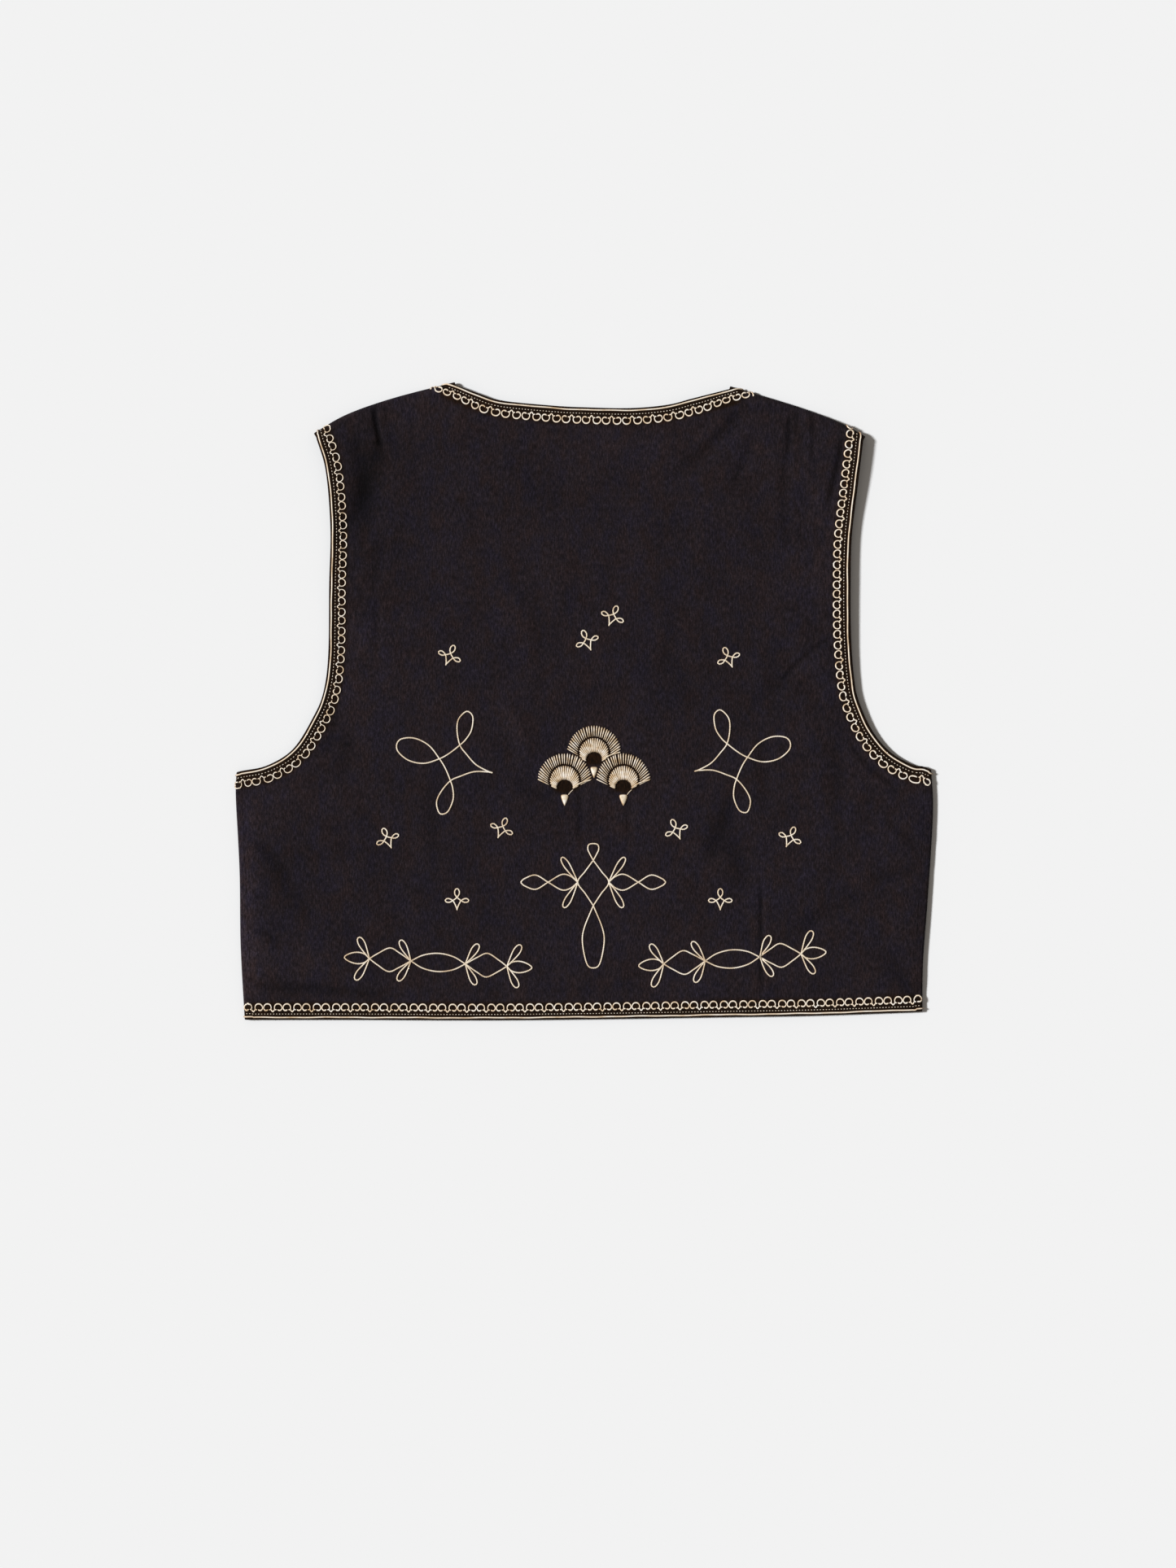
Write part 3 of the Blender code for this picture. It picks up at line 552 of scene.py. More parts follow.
def cloth_material():
    """Dark wool broadcloth: an upright slub, a fine plain weave and a brown and blue heather."""
    f = Finish("wool_cloth", (0.017, 0.012, 0.014), 0.95, sheen=0.02, specular=0.12)
    slub = f.noise((1000, 260, 260), 1.0, 3.0, 0.75)
    weft = f.noise((60, 1100, 60), 1.0, 2.0, 0.6)
    fibre = f.noise((1, 1, 1), 1500.0, 2.0, 0.7)
    patch = f.noise((1, 0.6, 1), 110.0, 3.0, 0.6)
    cloud = f.noise((1, 0.7, 1), 42.0, 4.0, 0.6)
    tone = f.ramp(slub, (0.33, (0.0058, 0.0039, 0.0051)), (0.5, (0.0132, 0.0091, 0.0116)),
                  (0.68, (0.0272, 0.0194, 0.0248)))
    lay = f.ramp(cloud, (0.3, (0.84, 0.84, 0.86)), (0.5, WHITE), (0.7, (1.17, 1.16, 1.14)))
    heather = f.ramp(patch, (0.34, (0.88, 0.96, 1.2)), (0.5, WHITE), (0.66, (1.12, 0.98, 0.84)))
    speck = f.ramp(fibre, (0.3, (0.72, 0.72, 0.72)), (0.6, (1.1, 1.1, 1.1)), (0.78, (1.7, 1.65, 1.7)))
    color = f.times(f.times(f.times(tone, lay), heather), speck)
    # Painted shade along the creases and broad patches darkens the cloth's colour, and painted light
    # lightens it
    share = f.node("Math", "Value", {0: 1.0, 1: f.attribute("nap")}, operation="SUBTRACT")
    shaded_color = f.node("VectorMath", "Vector", {0: color, "Scale": share}, operation="SCALE")
    # Painted shade: the cloth among the threads of the trims and fans is darker and browner
    thread_shade = f.ramp(f.attribute("sewn"), (0.0, WHITE), (1.0, THREAD_SHADE_TINT))
    return f.done(f.times(shaded_color, thread_shade), f.plus(f.plus(slub, weft, 0.7), fibre, 0.8), 0.00022, 0.8)


def thread_material(name, dark, middle, light, scale, roughness, sheen, unshaded_above=0.87):
    """Cream thread: tan where it is thin or soiled, with painted shade between its strands and down its
    sides.
    """
    f = Finish(name, middle, roughness, sheen=sheen, specular=0.35)
    soil = f.noise((1, 1, 1), scale, 3.0, 0.6)
    strand = f.noise((1, 1, 1), 2600.0, 2.0, 0.6)
    color = f.ramp(soil, (0.3, dark), (0.5, middle), (0.68, light))
    # Painted shade: the thread is darker between its strands, where its bump is low
    fine = f.ramp(strand, (0.3, (0.78, 0.76, 0.72)), (0.6, (1.04, 1.04, 1.04)))
    # Painted shade: the thread's sides, which face away from up, are darker and browner
    facing = f.node("SeparateXYZ", "Z", {"Vector": f.node("NewGeometry", "Normal", {})})
    side = f.ramp(facing, (0.3, SIDE_PAINTED_SHADE), (unshaded_above, WHITE))
    return f.done(f.times(f.times(color, side), fine), strand, 0.00012, 0.7)


CLOTH_FINISH = cloth_material()
# Thread finishes: dark, middle and light tones, the soiling's scale, roughness, sheen, and for satin how
# far up its faces turn before its painted side shade ends
THREADS = {name: thread_material(name, *look) for name, look in {
    "piping": ((0.68, 0.5, 0.31), (0.95, 0.82, 0.65), (1.0, 0.95, 0.85), 95.0, 0.5, 0.1),
    "scroll": ((0.7, 0.51, 0.31), (1.0, 0.88, 0.71), (1.0, 0.98, 0.92), 160.0, 0.45, 0.1),
    "couched": ((0.66, 0.5, 0.33), (0.92, 0.81, 0.64), (0.99, 0.93, 0.82), 120.0, 0.5, 0.1),
    "stitches": ((0.5, 0.42, 0.3), (0.8, 0.73, 0.61), (0.94, 0.9, 0.83), 300.0, 0.5, 0.0),
    "satin": ((0.6, 0.42, 0.23), (0.84, 0.71, 0.53), (0.99, 0.93, 0.84), 260.0, 0.34, 0.12, 0.93),
}.items()}


# Cloth shells


class Shell:
    """Points of one piece of cloth: the flat cut, and the outer and inner faces."""

    def __init__(self):
        self.cut, self.outer, self.inner, self.known, self.edges = [], [], [], {}, []

    def add(self, cut, outer, inner):
        place = (float(cut[0]), float(cut[1]))
        key = (round(place[0], 2), round(place[1], 2))
        if key not in self.known:
            self.known[key] = len(self.cut)
            self.cut.append(place)
            self.outer.append(outer)
            self.inner.append(inner)
        return self.known[key]

    def row(self, cut, outer, inner):
        indices = [self.add(*each) for each in zip(cut, outer, inner)]
        self.join(indices)
        return indices

    def join(self, indices):
        self.edges += [(a, b) for a, b in zip(indices, indices[1:]) if a != b]

    def top_row(self, flat, drop=0.0):
        """A row of the top layer, its outer face drop below the rest."""
        z = height(flat[:, 0], flat[:, 1])
        return self.row(flat, np.column_stack([flat, z - drop]), np.column_stack([flat, z - CLOTH]))

    def floor_row(self, flat):
        """A row of the bottom layer."""
        z = np.full(len(flat), FLOOR_GAP)
        return self.row(flat, np.column_stack([flat, z]), np.column_stack([flat, z + CLOTH]))

    def mesh(self, name, border, finish):
        self.join(border + border[:1])
        cut = [Vector(c) for c in self.cut]
        _, _, triangles, origins, _, _ = delaunay_2d_cdt(cut, self.edges, [], 1, 1e-4)
        at = np.array([origin[0] for origin in origins])
        count = len(cut)
        outer = at[np.array(triangles)]
        rim = np.array([[b, a, a + count, b + count] for a, b in zip(border, border[1:] + border[:1])])
        parts = [outer, outer[:, ::-1] + count, rim]
        if self.outer[border[0]][2] < self.inner[border[0]][2]:
            parts = [part[:, ::-1] for part in parts]
        both = np.vstack([np.array(self.outer), np.array(self.inner)])
        used = np.zeros(len(both), bool)
        for part in parts:
            used[part.ravel()] = True
        number = np.cumsum(used) - 1
        made = to_mesh(name, both[used], [face for part in parts for face in number[part].tolist()], finish)
        # Painted shade and painted light of the cloth, stored at each point for its finish
        for label, amount in (("nap", nap), ("sewn", sewn)):
            painted_attribute = made.data.attributes.new(label, "FLOAT", "POINT")
            painted_attribute.data.foreach_set("value", amount(both[used][:, 0], both[used][:, 1]).astype(np.float32))
        return made


def inside(flat, loop, margin):
    """Which flat points are inside a closed line and a margin clear of it."""
    hit = np.zeros(len(flat), bool)
    far = np.full(len(flat), 1e9)
    x, y = flat[:, 0], flat[:, 1]
    for a, b in zip(loop, np.roll(loop, -1, axis=0)):
        crosses = (a[1] > y) != (b[1] > y)
        with np.errstate(divide="ignore", invalid="ignore"):
            hit ^= crosses & (x < a[0] + (b[0] - a[0]) * (y - a[1]) / (b[1] - a[1]))
        d = b - a
        t = np.clip(((flat - a) @ d) / max(d @ d, 1e-9), 0, 1)
        far = np.minimum(far, np.linalg.norm(flat - a - t[:, None] * d, axis=1))
    return hit & (far > margin)


def grid(step):
    """Corners of even triangles all over the vest, each one's number in its row, and its row's number."""
    row = step * math.sqrt(3) / 2
    j, i = np.mgrid[0:int(GRID_HEIGHT / row) + 1, 0:int(GRID_WIDTH / step) + 1]
    x = GRID_LEFT + (i + 0.5 * (j % 2)) * step
    return np.column_stack([x.ravel(), (GRID_FOOT + j * row).ravel()]), i.ravel(), j.ravel()


def refined_grid(step):
    """A grid that is twice as fine beside the narrow creases."""
    flat, i, j = grid(step / 2)
    keep = (j % 2 == 0) & ((i - j // 2) % 2 == 0)
    for c in CREASES:
        if c.width < FINE_CREASE:
            t, aside = across(c, flat[:, 0], flat[:, 1])
            keep |= (np.abs(aside) < FINE_REACH * c.width) & (t > -0.05) & (t < 1.05)
    return flat[keep]


def fold_band(shell, fold, stations, drops):
    """Rows of a shell round a fold. stations are distances along the rim, drops how far each sinks."""
    start, out, radius, width, middle = fold.section(stations)
    rows = []
    way = 1 if fold.from_top else -1
    turns = [math.pi * k / FOLD_STEPS for k in range(FOLD_STEPS + 1)] + [math.pi, math.pi]
    laps = [np.zeros_like(radius)] * (FOLD_STEPS + 1) + [width - radius - EDGE_HOLD, width - radius]
    for turn, lap in zip(turns, laps):
        cut = start + out * (radius * turn + lap)[:, None]
        faces = []
        for r in (radius - drops, radius - CLOTH):
            place = start + out * (r * math.sin(turn) - lap)[:, None]
            faces.append(np.column_stack([place, middle + way * r * math.cos(turn)]))
        rows.append(shell.row(cut, *faces))
    return rows


def close_ended(total, count):
    """Distances along an edge: close together at its ends, where the shell's edge is round."""
    even = np.linspace(INSETS[-1], total - INSETS[-1], count)
    return np.concatenate([INSETS[:-1], even, [total - inset for inset in INSETS[-2::-1]]])


def fold_stations(fold):
    """Distances along a rim, and how far the shell's outer face sinks at each."""
    total = lengths(fold.rim)[-1]
    stations = close_ended(total, max(3, round(total / SHELL_EDGE_STEP)))
    drops = np.zeros(len(stations))
    for k, (_, drop) in enumerate(EDGE_ROUND):
        drops[k] = drops[-1 - k] = drop
    return stations, drops


def build_back():
    shell = Shell()
    rows = {key: fold_band(shell, FOLDS["shoulder_" + key], *fold_stations(FOLDS["shoulder_" + key]))
            for key in ("left", "right")}
    left, right = ([shell.cut[i] for i in rows[key][0]] for key in ("left", "right"))
    near = len(INSETS)
    # Cut places of the rounded edge's rows at each edge's two ends
    ends = {
        "hem": (at_lengths(SIDE_L, INSETS), at_lengths(SIDE_R, INSETS)),
        "armhole_left": (at_lengths(SIDE_L[::-1], INSETS), left[:near]),
        "armhole_right": (at_lengths(SIDE_R[::-1], INSETS), right[:near]),
        "neck": (right[::-1][:near], left[::-1][:near]),
    }
    edge = {}
    for name, track in TRACKS.items():
        along = np.linspace(0, track.length, round(track.length / SHELL_EDGE_STEP))
        base = at_lengths(track.line, along)
        inward = between(along, lengths(track.line), track.inward)
        for k, (inset, drop) in enumerate(EDGE_ROUND):
            flat = base + inward * inset
            flat[0], flat[-1] = ends[name][0][k], ends[name][1][k]
            edge.setdefault(name, shell.top_row(flat, drop))
    side_rows = {}
    for key, line, way in (("left", SIDE_L, -1), ("right", SIDE_R, 1)):
        even = evenly(line, SHELL_EDGE_STEP)
        side_rows[key] = shell.top_row(at_lengths(line, close_ended(lengths(even)[-1], len(even))))
        shell.top_row((line + left_of(line) * way * EDGE_HOLD)[2:-2])

    def round_fold(key, station):
        return [row[station] for row in rows[key]]

    border = (
        edge["hem"][:-1] + side_rows["right"][:-1] + edge["armhole_right"][:-1]
        + round_fold("right", 0) + rows["right"][-1][1:] + round_fold("right", -1)[-2:0:-1]
        + edge["neck"][:-1]
        + round_fold("left", -1) + rows["left"][-1][-2::-1] + round_fold("left", 0)[-2:0:-1]
        + edge["armhole_left"][:0:-1] + side_rows["left"][:0:-1]
    )
    flat_part = dict.fromkeys(
        edge["hem"] + side_rows["right"] + edge["armhole_right"] + rows["right"][0] + edge["neck"]
        + rows["left"][0][::-1] + edge["armhole_left"][::-1] + side_rows["left"][::-1]
    )
    loop = np.array([shell.cut[i] for i in flat_part])
    points = refined_grid(SHELL_GRID)
    points = points[inside(points, loop, BACK_MARGIN)]
    z = height(points[:, 0], points[:, 1])
    for cut, top in zip(points, z):
        shell.add(cut, (*cut, top), (*cut, top - CLOTH))
    return shell.mesh("back_cloth", border, CLOTH_FINISH)


def build_front(key):
    left = key == "left"
    way = -1 if left else 1
    shell = Shell()
    fold, shoulder = FOLDS["side_" + key], FOLDS["shoulder_" + key]
    rows = fold_band(shell, fold, *fold_stations(fold))

    def mirrored(table):
        return [(x if left else 2 * MIDDLE_X - x, y) for x, y in table]

    middle = MIDDLE_X + way * FRONT_OPENING
    foot = FRONT_HEM_MIDDLE + FRONT_INSET
    start, underarm = np.array(shell.cut[rows[0][0]]), np.array(shell.cut[rows[0][-1]])
    hem = [(x, y + FRONT_INSET) for x, y in HEM[::-way] if (x < MIDDLE_X) == left]
    hem = evenly(smooth_line([start] + hem + [(middle, foot)]), FRONT_STEP)
    up = np.linspace(foot + FRONT_STEP, FRONT_NECK_FOOT - FRONT_STEP, 40)
    opening = np.column_stack([np.full(len(up), middle), up])
    rim = evenly(shoulder.rim, FRONT_STEP)
    hidden = rim + left_of(rim) * way * (SHOULDER_LAP + SEAM_GAP)
    neck = [(middle, FRONT_NECK_FOOT)] + mirrored(FRONT_NECK) + [hidden[-1]]
    neck = evenly(smooth_line(neck), FRONT_STEP)
    armhole = evenly(smooth_line([underarm] + mirrored(FRONT_ARMHOLE) + [hidden[0]]), 0.8 * FRONT_STEP)
    flat = np.vstack([hem[1:], opening, neck, hidden[-2:0:-1], armhole[:0:-1]])
    outline = shell.floor_row(flat)
    around = outline + [row[-1] for row in rows] + rows[-1][-2::-1] + [row[0] for row in rows][-2::-1]
    border = around if left else around[::-1]
    loop = np.vstack([flat, np.array([shell.cut[i] for i in rows[0][::-1]])])
    points = grid(2 * SHELL_GRID)[0]
    for cut in points[inside(points, loop, FRONT_MARGIN)]:
        shell.add(cut, (*cut, FLOOR_GAP), (*cut, FLOOR_GAP + CLOTH))
    return shell.mesh("front_cloth_" + key, border, CLOTH_FINISH)


# Trims


def build_piping(name):
    bundle = Bundle()
    track = TRACKS[name]
    reach = track.length + PIPING_REACH
    along = np.linspace(-PIPING_REACH, reach, round(reach + PIPING_REACH))
    wander = 0.12 * np.sin(along / 9.0 + 1.3) + 0.08 * np.sin(along / 3.7)  # as uneven as sewing by hand
    line, up = track.at(along, TRIMS[name].piping + wander)
    keep = line[:, 2] > LOWEST_TRIM
    bundle.tube(line[keep], up[keep], PIPING_WIDTH, PIPING_HEIGHT, sides=8, sunk=0.35)
    return bundle.finish("piping_" + name, THREADS["piping"])


def build_stitches():
    bundle = Bundle()
    for name, track in TRACKS.items():
        for k in range(int((track.length + 2 * STITCH_REACH) / STITCH_PITCH)):
            middle = (k + 0.5) * STITCH_PITCH - STITCH_REACH
            line, up = track.at(middle + np.linspace(-0.5, 0.5, 5) * STITCH_LENGTH, TRIMS[name].stitch)
            if line[:, 2].min() > LOWEST_TRIM:
                bundle.tube(line, up, STITCH_WIDTH, 0.7, sunk=0.25)
    return bundle.finish("top_stitch", THREADS["stitches"])


# One scroll of the edging, and its foot, which the mirrored one shares: along the edge, and away from it
SCROLL = [
    (3.4, 1.9), (4.3, 1.35), (5.4, 1.3), (6.3, 1.9), (6.75, 3.2), (6.3, 4.7), (5.2, 5.8), (3.9, 6.1),
    (2.6, 5.85), (1.6, 4.9), (1.2, 3.5), (1.45, 2.3), (2.1, 1.7), (2.7, 2.1),
]
SCROLL_FOOT = [(1.5, 2.2), (0.8, 1.1), (0, 0.3), (-0.8, 1.1), (-1.5, 2.2)]
SCROLL_WIDTHS = [0.9, 1.3, 1.3, 1.05, 0.9, 1.05, 1.2, 1.25, 1.2, 1.05, 0.88, 0.9, 1.05, 0.9]
SCROLL_FOOT_WIDTH = 1.1


def build_scrolls():
    bundle = Bundle()
    loop = smooth_line(SCROLL, 3)
    widths = np.interp(np.linspace(0, len(SCROLL) - 1, len(loop)), np.arange(len(SCROLL)), SCROLL_WIDTHS)
    shapes = ((loop, widths), (loop * [-1, 1], widths), (smooth_line(SCROLL_FOOT, 2), SCROLL_FOOT_WIDTH))
    for name, track in TRACKS.items():
        pairs = round(track.length / SCROLL_PITCH)
        for k in range(-1, pairs + 2):
            for shape, width in shapes:
                along = k * track.length / pairs + shape[:, 0]
                line, up = track.at(along, TRIMS[name].scroll + shape[:, 1])
                if line[:, 2].min() > LOWEST_SCROLL:
                    bundle.tube(line, up, width * TRIMS[name].thickness, 1)
    return bundle.finish("scroll_edging", THREADS["scroll"])


# Motifs, each in its own frame: first the way it points, then to that way's left


def placed(points, x, y, angle):
    """Turns a motif's points so that it points at an angle, and moves them to a place."""
    p = np.asarray(points, float)
    c, s = math.cos(math.radians(angle)), math.sin(math.radians(angle))
    return np.column_stack([x + p[:, 0] * c - p[:, 1] * s, y + p[:, 0] * s + p[:, 1] * c])


def mirrored_loop(half):
    """The whole of a loop from its upper half."""
    return half + [(x, -y) for x, y in half[-2::-1]]


def petal(length, width, fullest=0.7, point=0.36, early=0.3):
    """A round-ended loop that starts and ends at its root."""
    return mirrored_loop([(0, 0), (0.36 * length, early * width), (fullest * length, 0.5 * width),
                          (0.93 * length, point * width), (length, 0)])


def leaf(length, width):
    """A loop pointed at both ends."""
    return mirrored_loop([(0, 0), (0.2 * length, 0.38 * width), (0.5 * length, 0.5 * width),
                          (0.82 * length, 0.32 * width), (length, 0)])


# A trefoil's waist, its side loops' crossing, reach and width, its middle one's, and how hollow its foot is
BIG_TREFOIL = (28.6, 13.6, 39, 11.9, 40.6, 73.7, 16.9, 0.16)
SMALL_TREFOIL = (7.2, 3.1, 8.6, 3, 9.6, 15.9, 3.5, 0.08)
# A side loop from its crossing round: how far out and how far up, as shares of its width and its length
TREFOIL_SIDE = [(0.38, 0.36), (0.5, 0.68), (0.27, 0.93), (0, 1), (-0.34, 0.87), (-0.45, 0.5),
                (-0.26, 0.2)]
LOOP_LEAN = 0.07  # the middle loop of a big trefoil leans up the back


def trefoil(size, lean=0):
    """Three loops of one thread with a pointed foot, from the foot round and back."""
    waist, cross, side_reach, wide, far_cross, reach, far_wide, hollow = size
    side, middle = side_reach - cross, reach - far_cross
    hollow *= waist
    first = [(0, 0), (0.16 * waist, 0.03 * cross), (0.48 * waist, 0.46 * cross - hollow * 0.75),
             (0.78 * waist, 0.72 * cross - hollow * 0.3), (waist, cross)]
    first += [(waist + out * wide, cross + up * side) for out, up in TREFOIL_SIDE]
    first += [(waist, cross), (0.5 * (waist + far_cross), 0.42 * cross), (far_cross, 0)]
    first += [(far_cross + 0.3 * middle, -0.4 * far_wide), (far_cross + 0.64 * middle, -0.5 * far_wide),
              (far_cross + 0.92 * middle, -0.3 * far_wide), (reach, 0)]
    return [(x, y + lean * max(x - far_cross, 0)) for x, y in mirrored_loop(first)]


# Where the motifs are, and the angles that they point at
BIG_TREFOILS = [(-67.6, -52.7, 165.2), (80.7, -51.6, 14.8)]
SMALL_TREFOILS = [
    (-93.9, -153.9, 90), (99.9, -153.9, 90), (17.7, 55.4, 67), (-102.3, 26.4, 67), (-63.9, -100.8, 67),
    (148.3, -107.4, 67), (4.8, 37.4, 113), (108.9, 24.8, 113), (-142.1, -108.3, 113), (70.5, -101.8, 113),
]
CHAINS = [(-107.8, -192.3, -3.2), (108.8, -189.7, 4.2)]
CORE = (6.4, -133.2, 90)

# The chains' parts, from the middle outwards
CHAIN_LENS = (20.1, 13.4)  # half length and width
CHAIN_DIAMOND = (30.6, 17.4)
CHAIN_FOLD = 0.52  # where the diamond is widest
CHAIN_PETALS = [(17.3, 4.8, 120), (17, 4.6, 240)]
CHAIN_END_PETALS = [(18.6, 5, 60), (17.4, 4.8, 300)]
CHAIN_LEAF = (18.4, 8.4)

# The middle ornament's parts, about the middle of its diamond
CORE_TOP, CORE_FOOT, CORE_SIDE = 16.1, -17.2, 11.4
CORE_TOP_LOOP = (12.3, 8)
CORE_LONG_LOOP = (45.9, 15.9)
CORE_PETALS = [(21.6, 4.4, 57), (21.2, 4.6, -61)]
CORE_LENSES = [(21.8, 11.2), (20.3, 10.4)]


def chain():
    """Half of a chain, as threads in the chain's frame; the other half is turned by half a turn."""
    lens, lens_width = CHAIN_LENS
    reach, width = CHAIN_DIAMOND
    end = lens + reach
    threads = [[(-lens, 0), (-0.55 * lens, 0.36 * lens_width), (0, 0.5 * lens_width),
                (0.55 * lens, 0.36 * lens_width), (lens, 0)]]
    for side in (-1, 1):
        threads.append([(lens, 0), (lens + 0.28 * reach, side * 0.31 * width),
                        (lens + CHAIN_FOLD * reach, side * 0.5 * width),
                        (lens + 0.8 * reach, side * 0.24 * width), (end, 0)])
    threads += [placed(petal(*size), lens, 0, 180 - angle) for *size, angle in CHAIN_PETALS]
    threads += [placed(petal(*size), end, 0, angle) for *size, angle in CHAIN_END_PETALS]
    return threads + [placed(leaf(*CHAIN_LEAF), end, 0, 0)]


def core():
    """The middle ornament's threads, pointing up the back."""
    (l1, w1), (l2, w2) = CORE_LENSES
    arm = [(0, 0), (0.25 * l1, 0.4 * w1), (0.55 * l1, 0.5 * w1), (l1, 0), (l1 + 0.45 * l2, -0.5 * w2),
           (l1 + 0.85 * l2, -0.26 * w2), (l1 + l2, 0)]
    threads = [placed(petal(*CORE_TOP_LOOP, 0.66, 0.42), CORE_TOP, 0, 0),
               placed(petal(*CORE_LONG_LOOP, 0.6, 0.3, 0.42), CORE_FOOT, 0, 180)]
    for side in (1, -1):
        node = side * CORE_SIDE
        threads.append([(CORE_TOP, 0), (0.5 * CORE_TOP, 0.52 * node), (0, node),
                        (0.5 * CORE_FOOT, 0.5 * node), (CORE_FOOT, 0)])
        threads += [placed(petal(*size), 0, node, side * (90 - angle)) for *size, angle in CORE_PETALS]
        threads += [placed([(x, flip * y) for x, y in arm], 0, node, side * 90) for flip in (1, -1)]
    return threads


def build_motifs():
    """All couched loops of the back, as twisted thread."""
    bundle = Bundle()

    def couch(points):
        line, up = on_back(evenly(smooth_line(points, 12), THREAD_STEP))
        bundle.tube(line, up, THREAD_WIDTH, THREAD_HEIGHT, sunk=0.25, twist=THREAD_TWIST, lobes=0.27)

    for x, y, angle in BIG_TREFOILS:
        couch(placed(trefoil(BIG_TREFOIL, math.copysign(LOOP_LEAN, x)), x, y, angle))
    for place in SMALL_TREFOILS:
        couch(placed(trefoil(SMALL_TREFOIL), *place))
    for x, y, angle in CHAINS:
        for turn in (0, 180):
            for thread in chain():
                couch(placed(thread, x, y, angle + turn))
    for thread in core():
        couch(placed(thread, *CORE))
    return bundle.finish("couched_motifs", THREADS["couched"])


# Fans of satin stitch

Fan = namedtuple("Fan", "name x y drop_width")
FANS = [Fan("left", -14.7, -58.2, 5.8), Fan("right", 28.5, -58.2, 6.2), Fan("top", 6.9, -37.8, 5.4)]
FAN_RADIUS = 20
FAN_FOCUS = 9  # the rays start out from a point this far below the middle
FAN_HOLE_RADIUS, FAN_HOLE_DROP = 5.8, 5.4
FAN_RING_RADIUS = 10.8
FAN_RAYS = 31
RAY_WIDTHS = (0.56, 0.72, 0.9, 1.06, 1.2, 1.2, 0.85)
RING_STITCHES = 24
RING_WIDTHS = (0.56, 0.8, 0.94, 1, 1, 0.86)  # in pitches of the ring's stitches
SHORTEST_STITCH = 1.2
FAN_SHADE_RISE, FAN_SHADE_REACH = 5, 2  # where the cloth among a fan's threads has painted shade, darker and browner
# A thread from the ring's end out to the rim
FAN_EDGE_THREAD = [(6.4, -5.7), (9.8, -3), (13.5, -1.2), (19.5, 0.4)]
DROP_LENGTH, DROP_TOP = 8.9, 10.2
DROP_THREAD = [(6.2, -6.8), (4.3, -8.6), (2.6, -10.7)]
# A drop's right side: how far down, and how far out, as shares of its length and half width
DROP_SIDE = [(0, 0), (0.01, 0.55), (0.06, 0.9), (0.2, 1), (0.42, 0.82), (0.66, 0.55), (0.88, 0.24),
             (1, 0)]


def ray_end(start, towards, centre, radius, far=True):
    """How far along a ray it leaves a circle, or enters it, and nothing where it misses."""
    offset = start - centre
    b = offset @ towards
    root = b * b - offset @ offset + radius * radius
    if root < 0:
        return None
    return -b + (math.sqrt(root) if far else -math.sqrt(root))


def build_fan(fan):
    """A fan of satin stitch: separate rays, and a dense ring inside them round an open middle."""
    bundle = Bundle()
    centre = np.array([fan.x, fan.y])
    focus, hole = centre - [0, FAN_FOCUS], centre - [0, FAN_HOLE_DROP]
    in_front = [np.array([f.x, f.y]) for f in FANS if f.name != "top"] if fan.name == "top" else []
    random = np.random.default_rng(7 + len(fan.name))

    def ray_of(angle):
        rim = centre + FAN_RADIUS * np.array([math.cos(angle), math.sin(angle)])
        return (rim - focus) / np.linalg.norm(rim - focus)

    def stitch(ray, near, end, widths, tall):
        for other in in_front:
            hit = ray_end(focus, ray, other, FAN_RADIUS + 0.4, False)
            if hit is not None and 0 < hit < end:
                end = hit
        if end - near < SHORTEST_STITCH:
            return
        flat = focus + ray * (near + (end - near) * np.linspace(0, 1, len(widths)))[:, None]
        line, up = on_back(flat)
        bundle.tube(line, up, widths * (0.8 + 0.34 * random.random()), tall, sunk=0.25, taper=False)

    for k in range(FAN_RAYS):
        ray = ray_of(math.pi * (k + 0.5) / FAN_RAYS + 0.008 * random.standard_normal())
        near = ray_end(focus, ray, centre, FAN_RING_RADIUS + 1 + 0.4 * random.random())
        end = ray_end(focus, ray, centre, FAN_RADIUS - 0.4 * random.random())
        stitch(ray, near, end, np.array(RAY_WIDTHS), 0.65 + 0.5 * random.random())
    pitch = math.pi * FAN_RING_RADIUS / RING_STITCHES
    for k in range(RING_STITCHES):
        ray = ray_of(math.pi * (k + 0.5) / RING_STITCHES)
        near = ray_end(focus, ray, hole, FAN_HOLE_RADIUS + 0.3 * random.random())
        end = ray_end(focus, ray, centre, FAN_RING_RADIUS - 0.3 * random.random())
        stitch(ray, near, end, np.array(RING_WIDTHS) * pitch, 1.3)
    edge, above = on_back(centre + evenly(smooth_line(FAN_EDGE_THREAD, 8), 0.8))
    bundle.tube(edge, above, 1.15, 1.3, sunk=0.1)
    made = bundle.finish("satin_fan_" + fan.name, THREADS["satin"])
    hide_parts("fan_" + fan.name)
    return made


def build_drop(fan):
    """A padded drop of satin stitch: broad and nearly flat on top, pointed below."""
    bundle = Bundle()
    right = smooth_line(DROP_SIDE, 2)
    down, aside = np.vstack([right, (right * [1, -1])[-2:0:-1]]).T
    x = fan.x + aside * fan.drop_width / 2
    y = fan.y - DROP_TOP - DROP_LENGTH * down
    ring, up = on_back(np.column_stack([x, y])[::-1])
    bundle.dome(ring, up, unit(up.mean(axis=0)), 1.1)
    if fan.name != "top":
        line, above = on_back(np.array([fan.x, fan.y]) + evenly(smooth_line(DROP_THREAD, 8), 0.6))
        bundle.tube(line, above, 0.65, 0.6, sunk=0.2)
    made = bundle.finish("satin_drop_" + fan.name, THREADS["satin"])
    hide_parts("drop_" + fan.name)
    return made


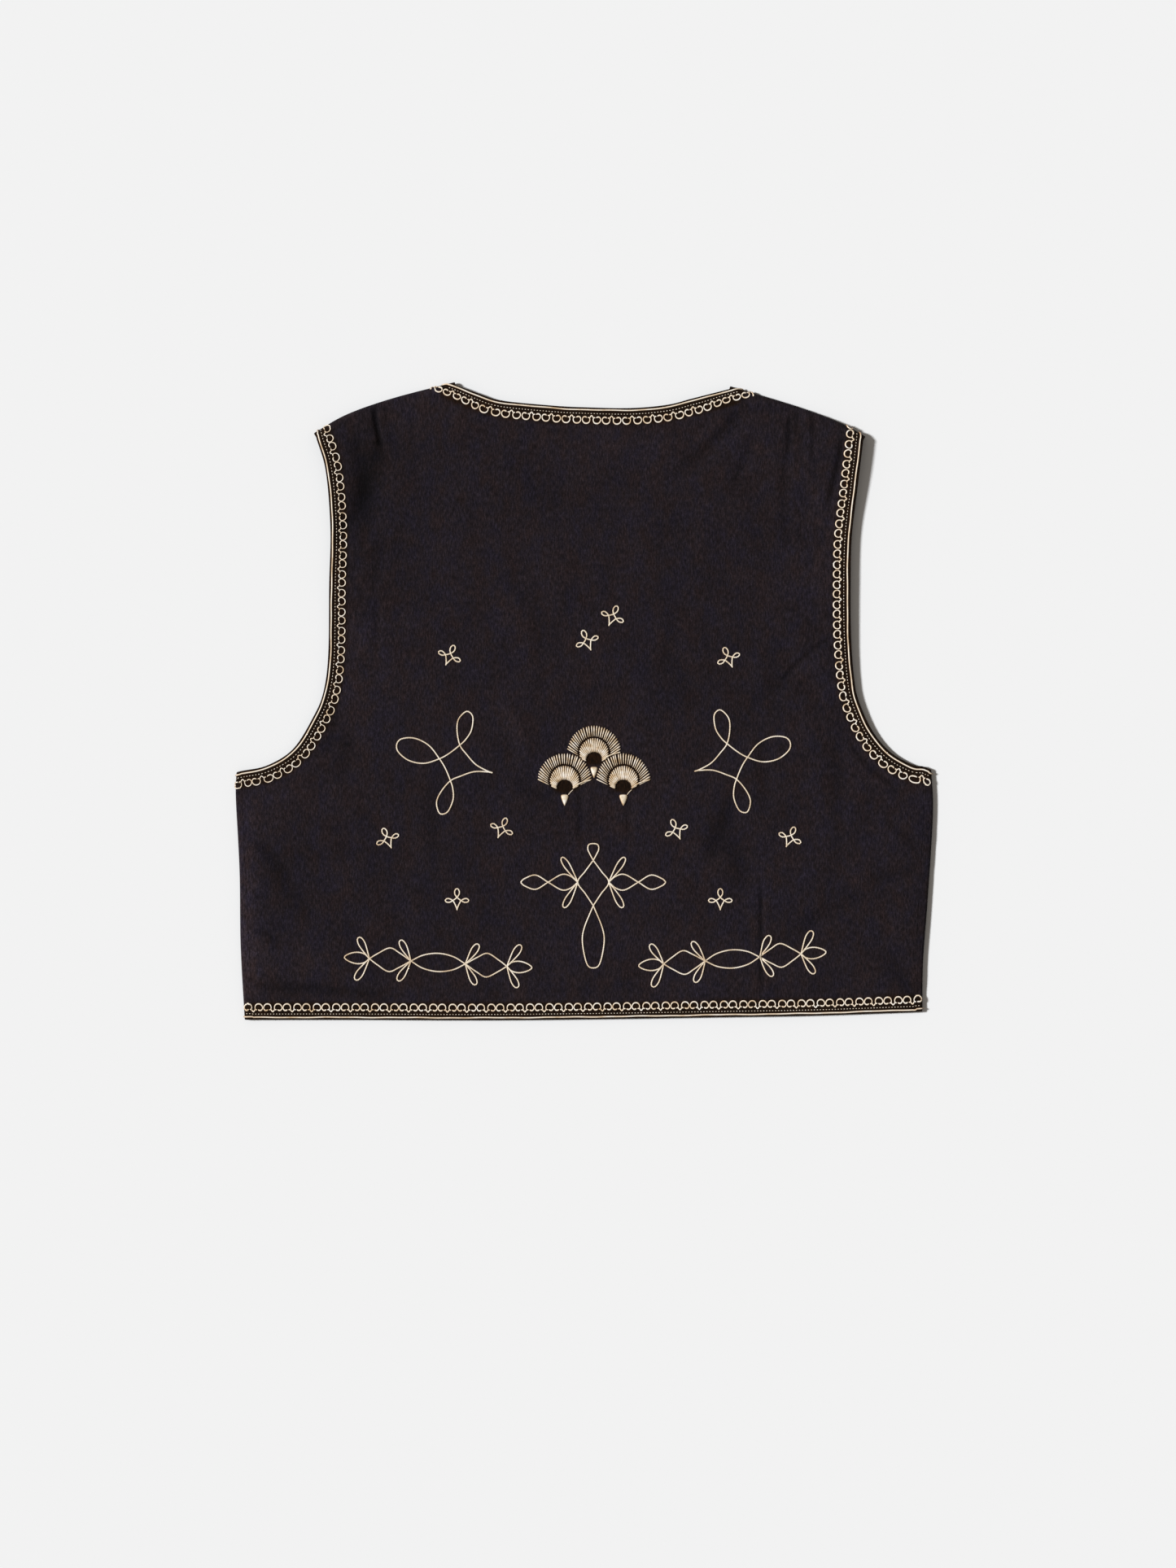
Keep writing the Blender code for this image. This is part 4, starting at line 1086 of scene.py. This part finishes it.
GROUND_REACH = 4.0  # metres
GROUND_COLOR = (0.9, 0.9, 0.9)
WORLD_LIGHT = 0.19
WORLD_COLOR = (1.0, 0.92, 0.83)
KEY_PLACE = (-1.14, 0.16, 0.97)
KEY_STRENGTH = 4.0415
KEY_COLOR = (0.961, 0.9793, 1.0)
KEY_SOFTNESS = 9.0  # degrees


def build_floor_and_light():
    mesh = bpy.data.meshes.new("ground")
    corners = [(x * GROUND_REACH, y * GROUND_REACH, 0) for x, y in ((-1, -1), (1, -1), (1, 1), (-1, 1))]
    mesh.from_pydata(corners, [], [(0, 1, 2, 3)])
    mesh.materials.append(Finish("ground", GROUND_COLOR, 0.9, specular=0.1).made)
    add_object("ground", mesh)
    world = bpy.data.worlds.new("studio")
    world.use_nodes = True
    background = world.node_tree.nodes["Background"]
    background.inputs["Color"].default_value = (*WORLD_COLOR, 1)
    background.inputs["Strength"].default_value = WORLD_LIGHT
    bpy.context.scene.world = world
    lamp = bpy.data.lights.new("key", "SUN")
    lamp.energy = KEY_STRENGTH
    lamp.color = KEY_COLOR
    lamp.angle = math.radians(KEY_SOFTNESS)
    key = add_object("key", lamp)
    key.location = KEY_PLACE
    key.rotation_euler = (-Vector(KEY_PLACE)).to_track_quat("-Z", "Y").to_euler()


# The photo's frame: its size in pixels, its scale, and the place of the vest's own zero in it
PHOTO_WIDTH, PHOTO_HEIGHT = 1445, 1927
MM_PER_PIXEL = 0.6
ZERO_X, ZERO_Y = 718.5, 862
CAMERA_HEIGHT = 3.0  # metres
SENSOR = 36.0


def build_camera():
    data = bpy.data.cameras.new("camera")
    data.sensor_width = SENSOR
    data.lens = SENSOR * CAMERA_HEIGHT / (PHOTO_HEIGHT * MM_PER_PIXEL * MM)
    camera = add_object("camera", data)
    x = ((PHOTO_WIDTH / 2 - ZERO_X) * MM_PER_PIXEL - ORIGIN_X) * MM
    y = ((ZERO_Y - PHOTO_HEIGHT / 2) * MM_PER_PIXEL - ORIGIN_Y) * MM
    camera.location = (x, y, CAMERA_HEIGHT)
    bpy.context.scene.camera = camera


build_camera()
build_floor_and_light()
bpy.context.scene.view_settings.view_transform = "Standard"

back = build_back()
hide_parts("back_panel")
for key in ("left", "right"):
    front = build_front(key)
    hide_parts("front_panel_" + key)

CORDS = {"hem": "hem_cord", "neck": "neck_cord", "armhole_left": "armhole_cord_left",
         "armhole_right": "armhole_cord_right"}
for name, node in CORDS.items():
    piping = build_piping(name)
    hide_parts(node)
for trim in (build_stitches(), build_scrolls(), build_motifs()):
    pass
for fan in FANS:
    build_fan(fan)
    build_drop(fan)
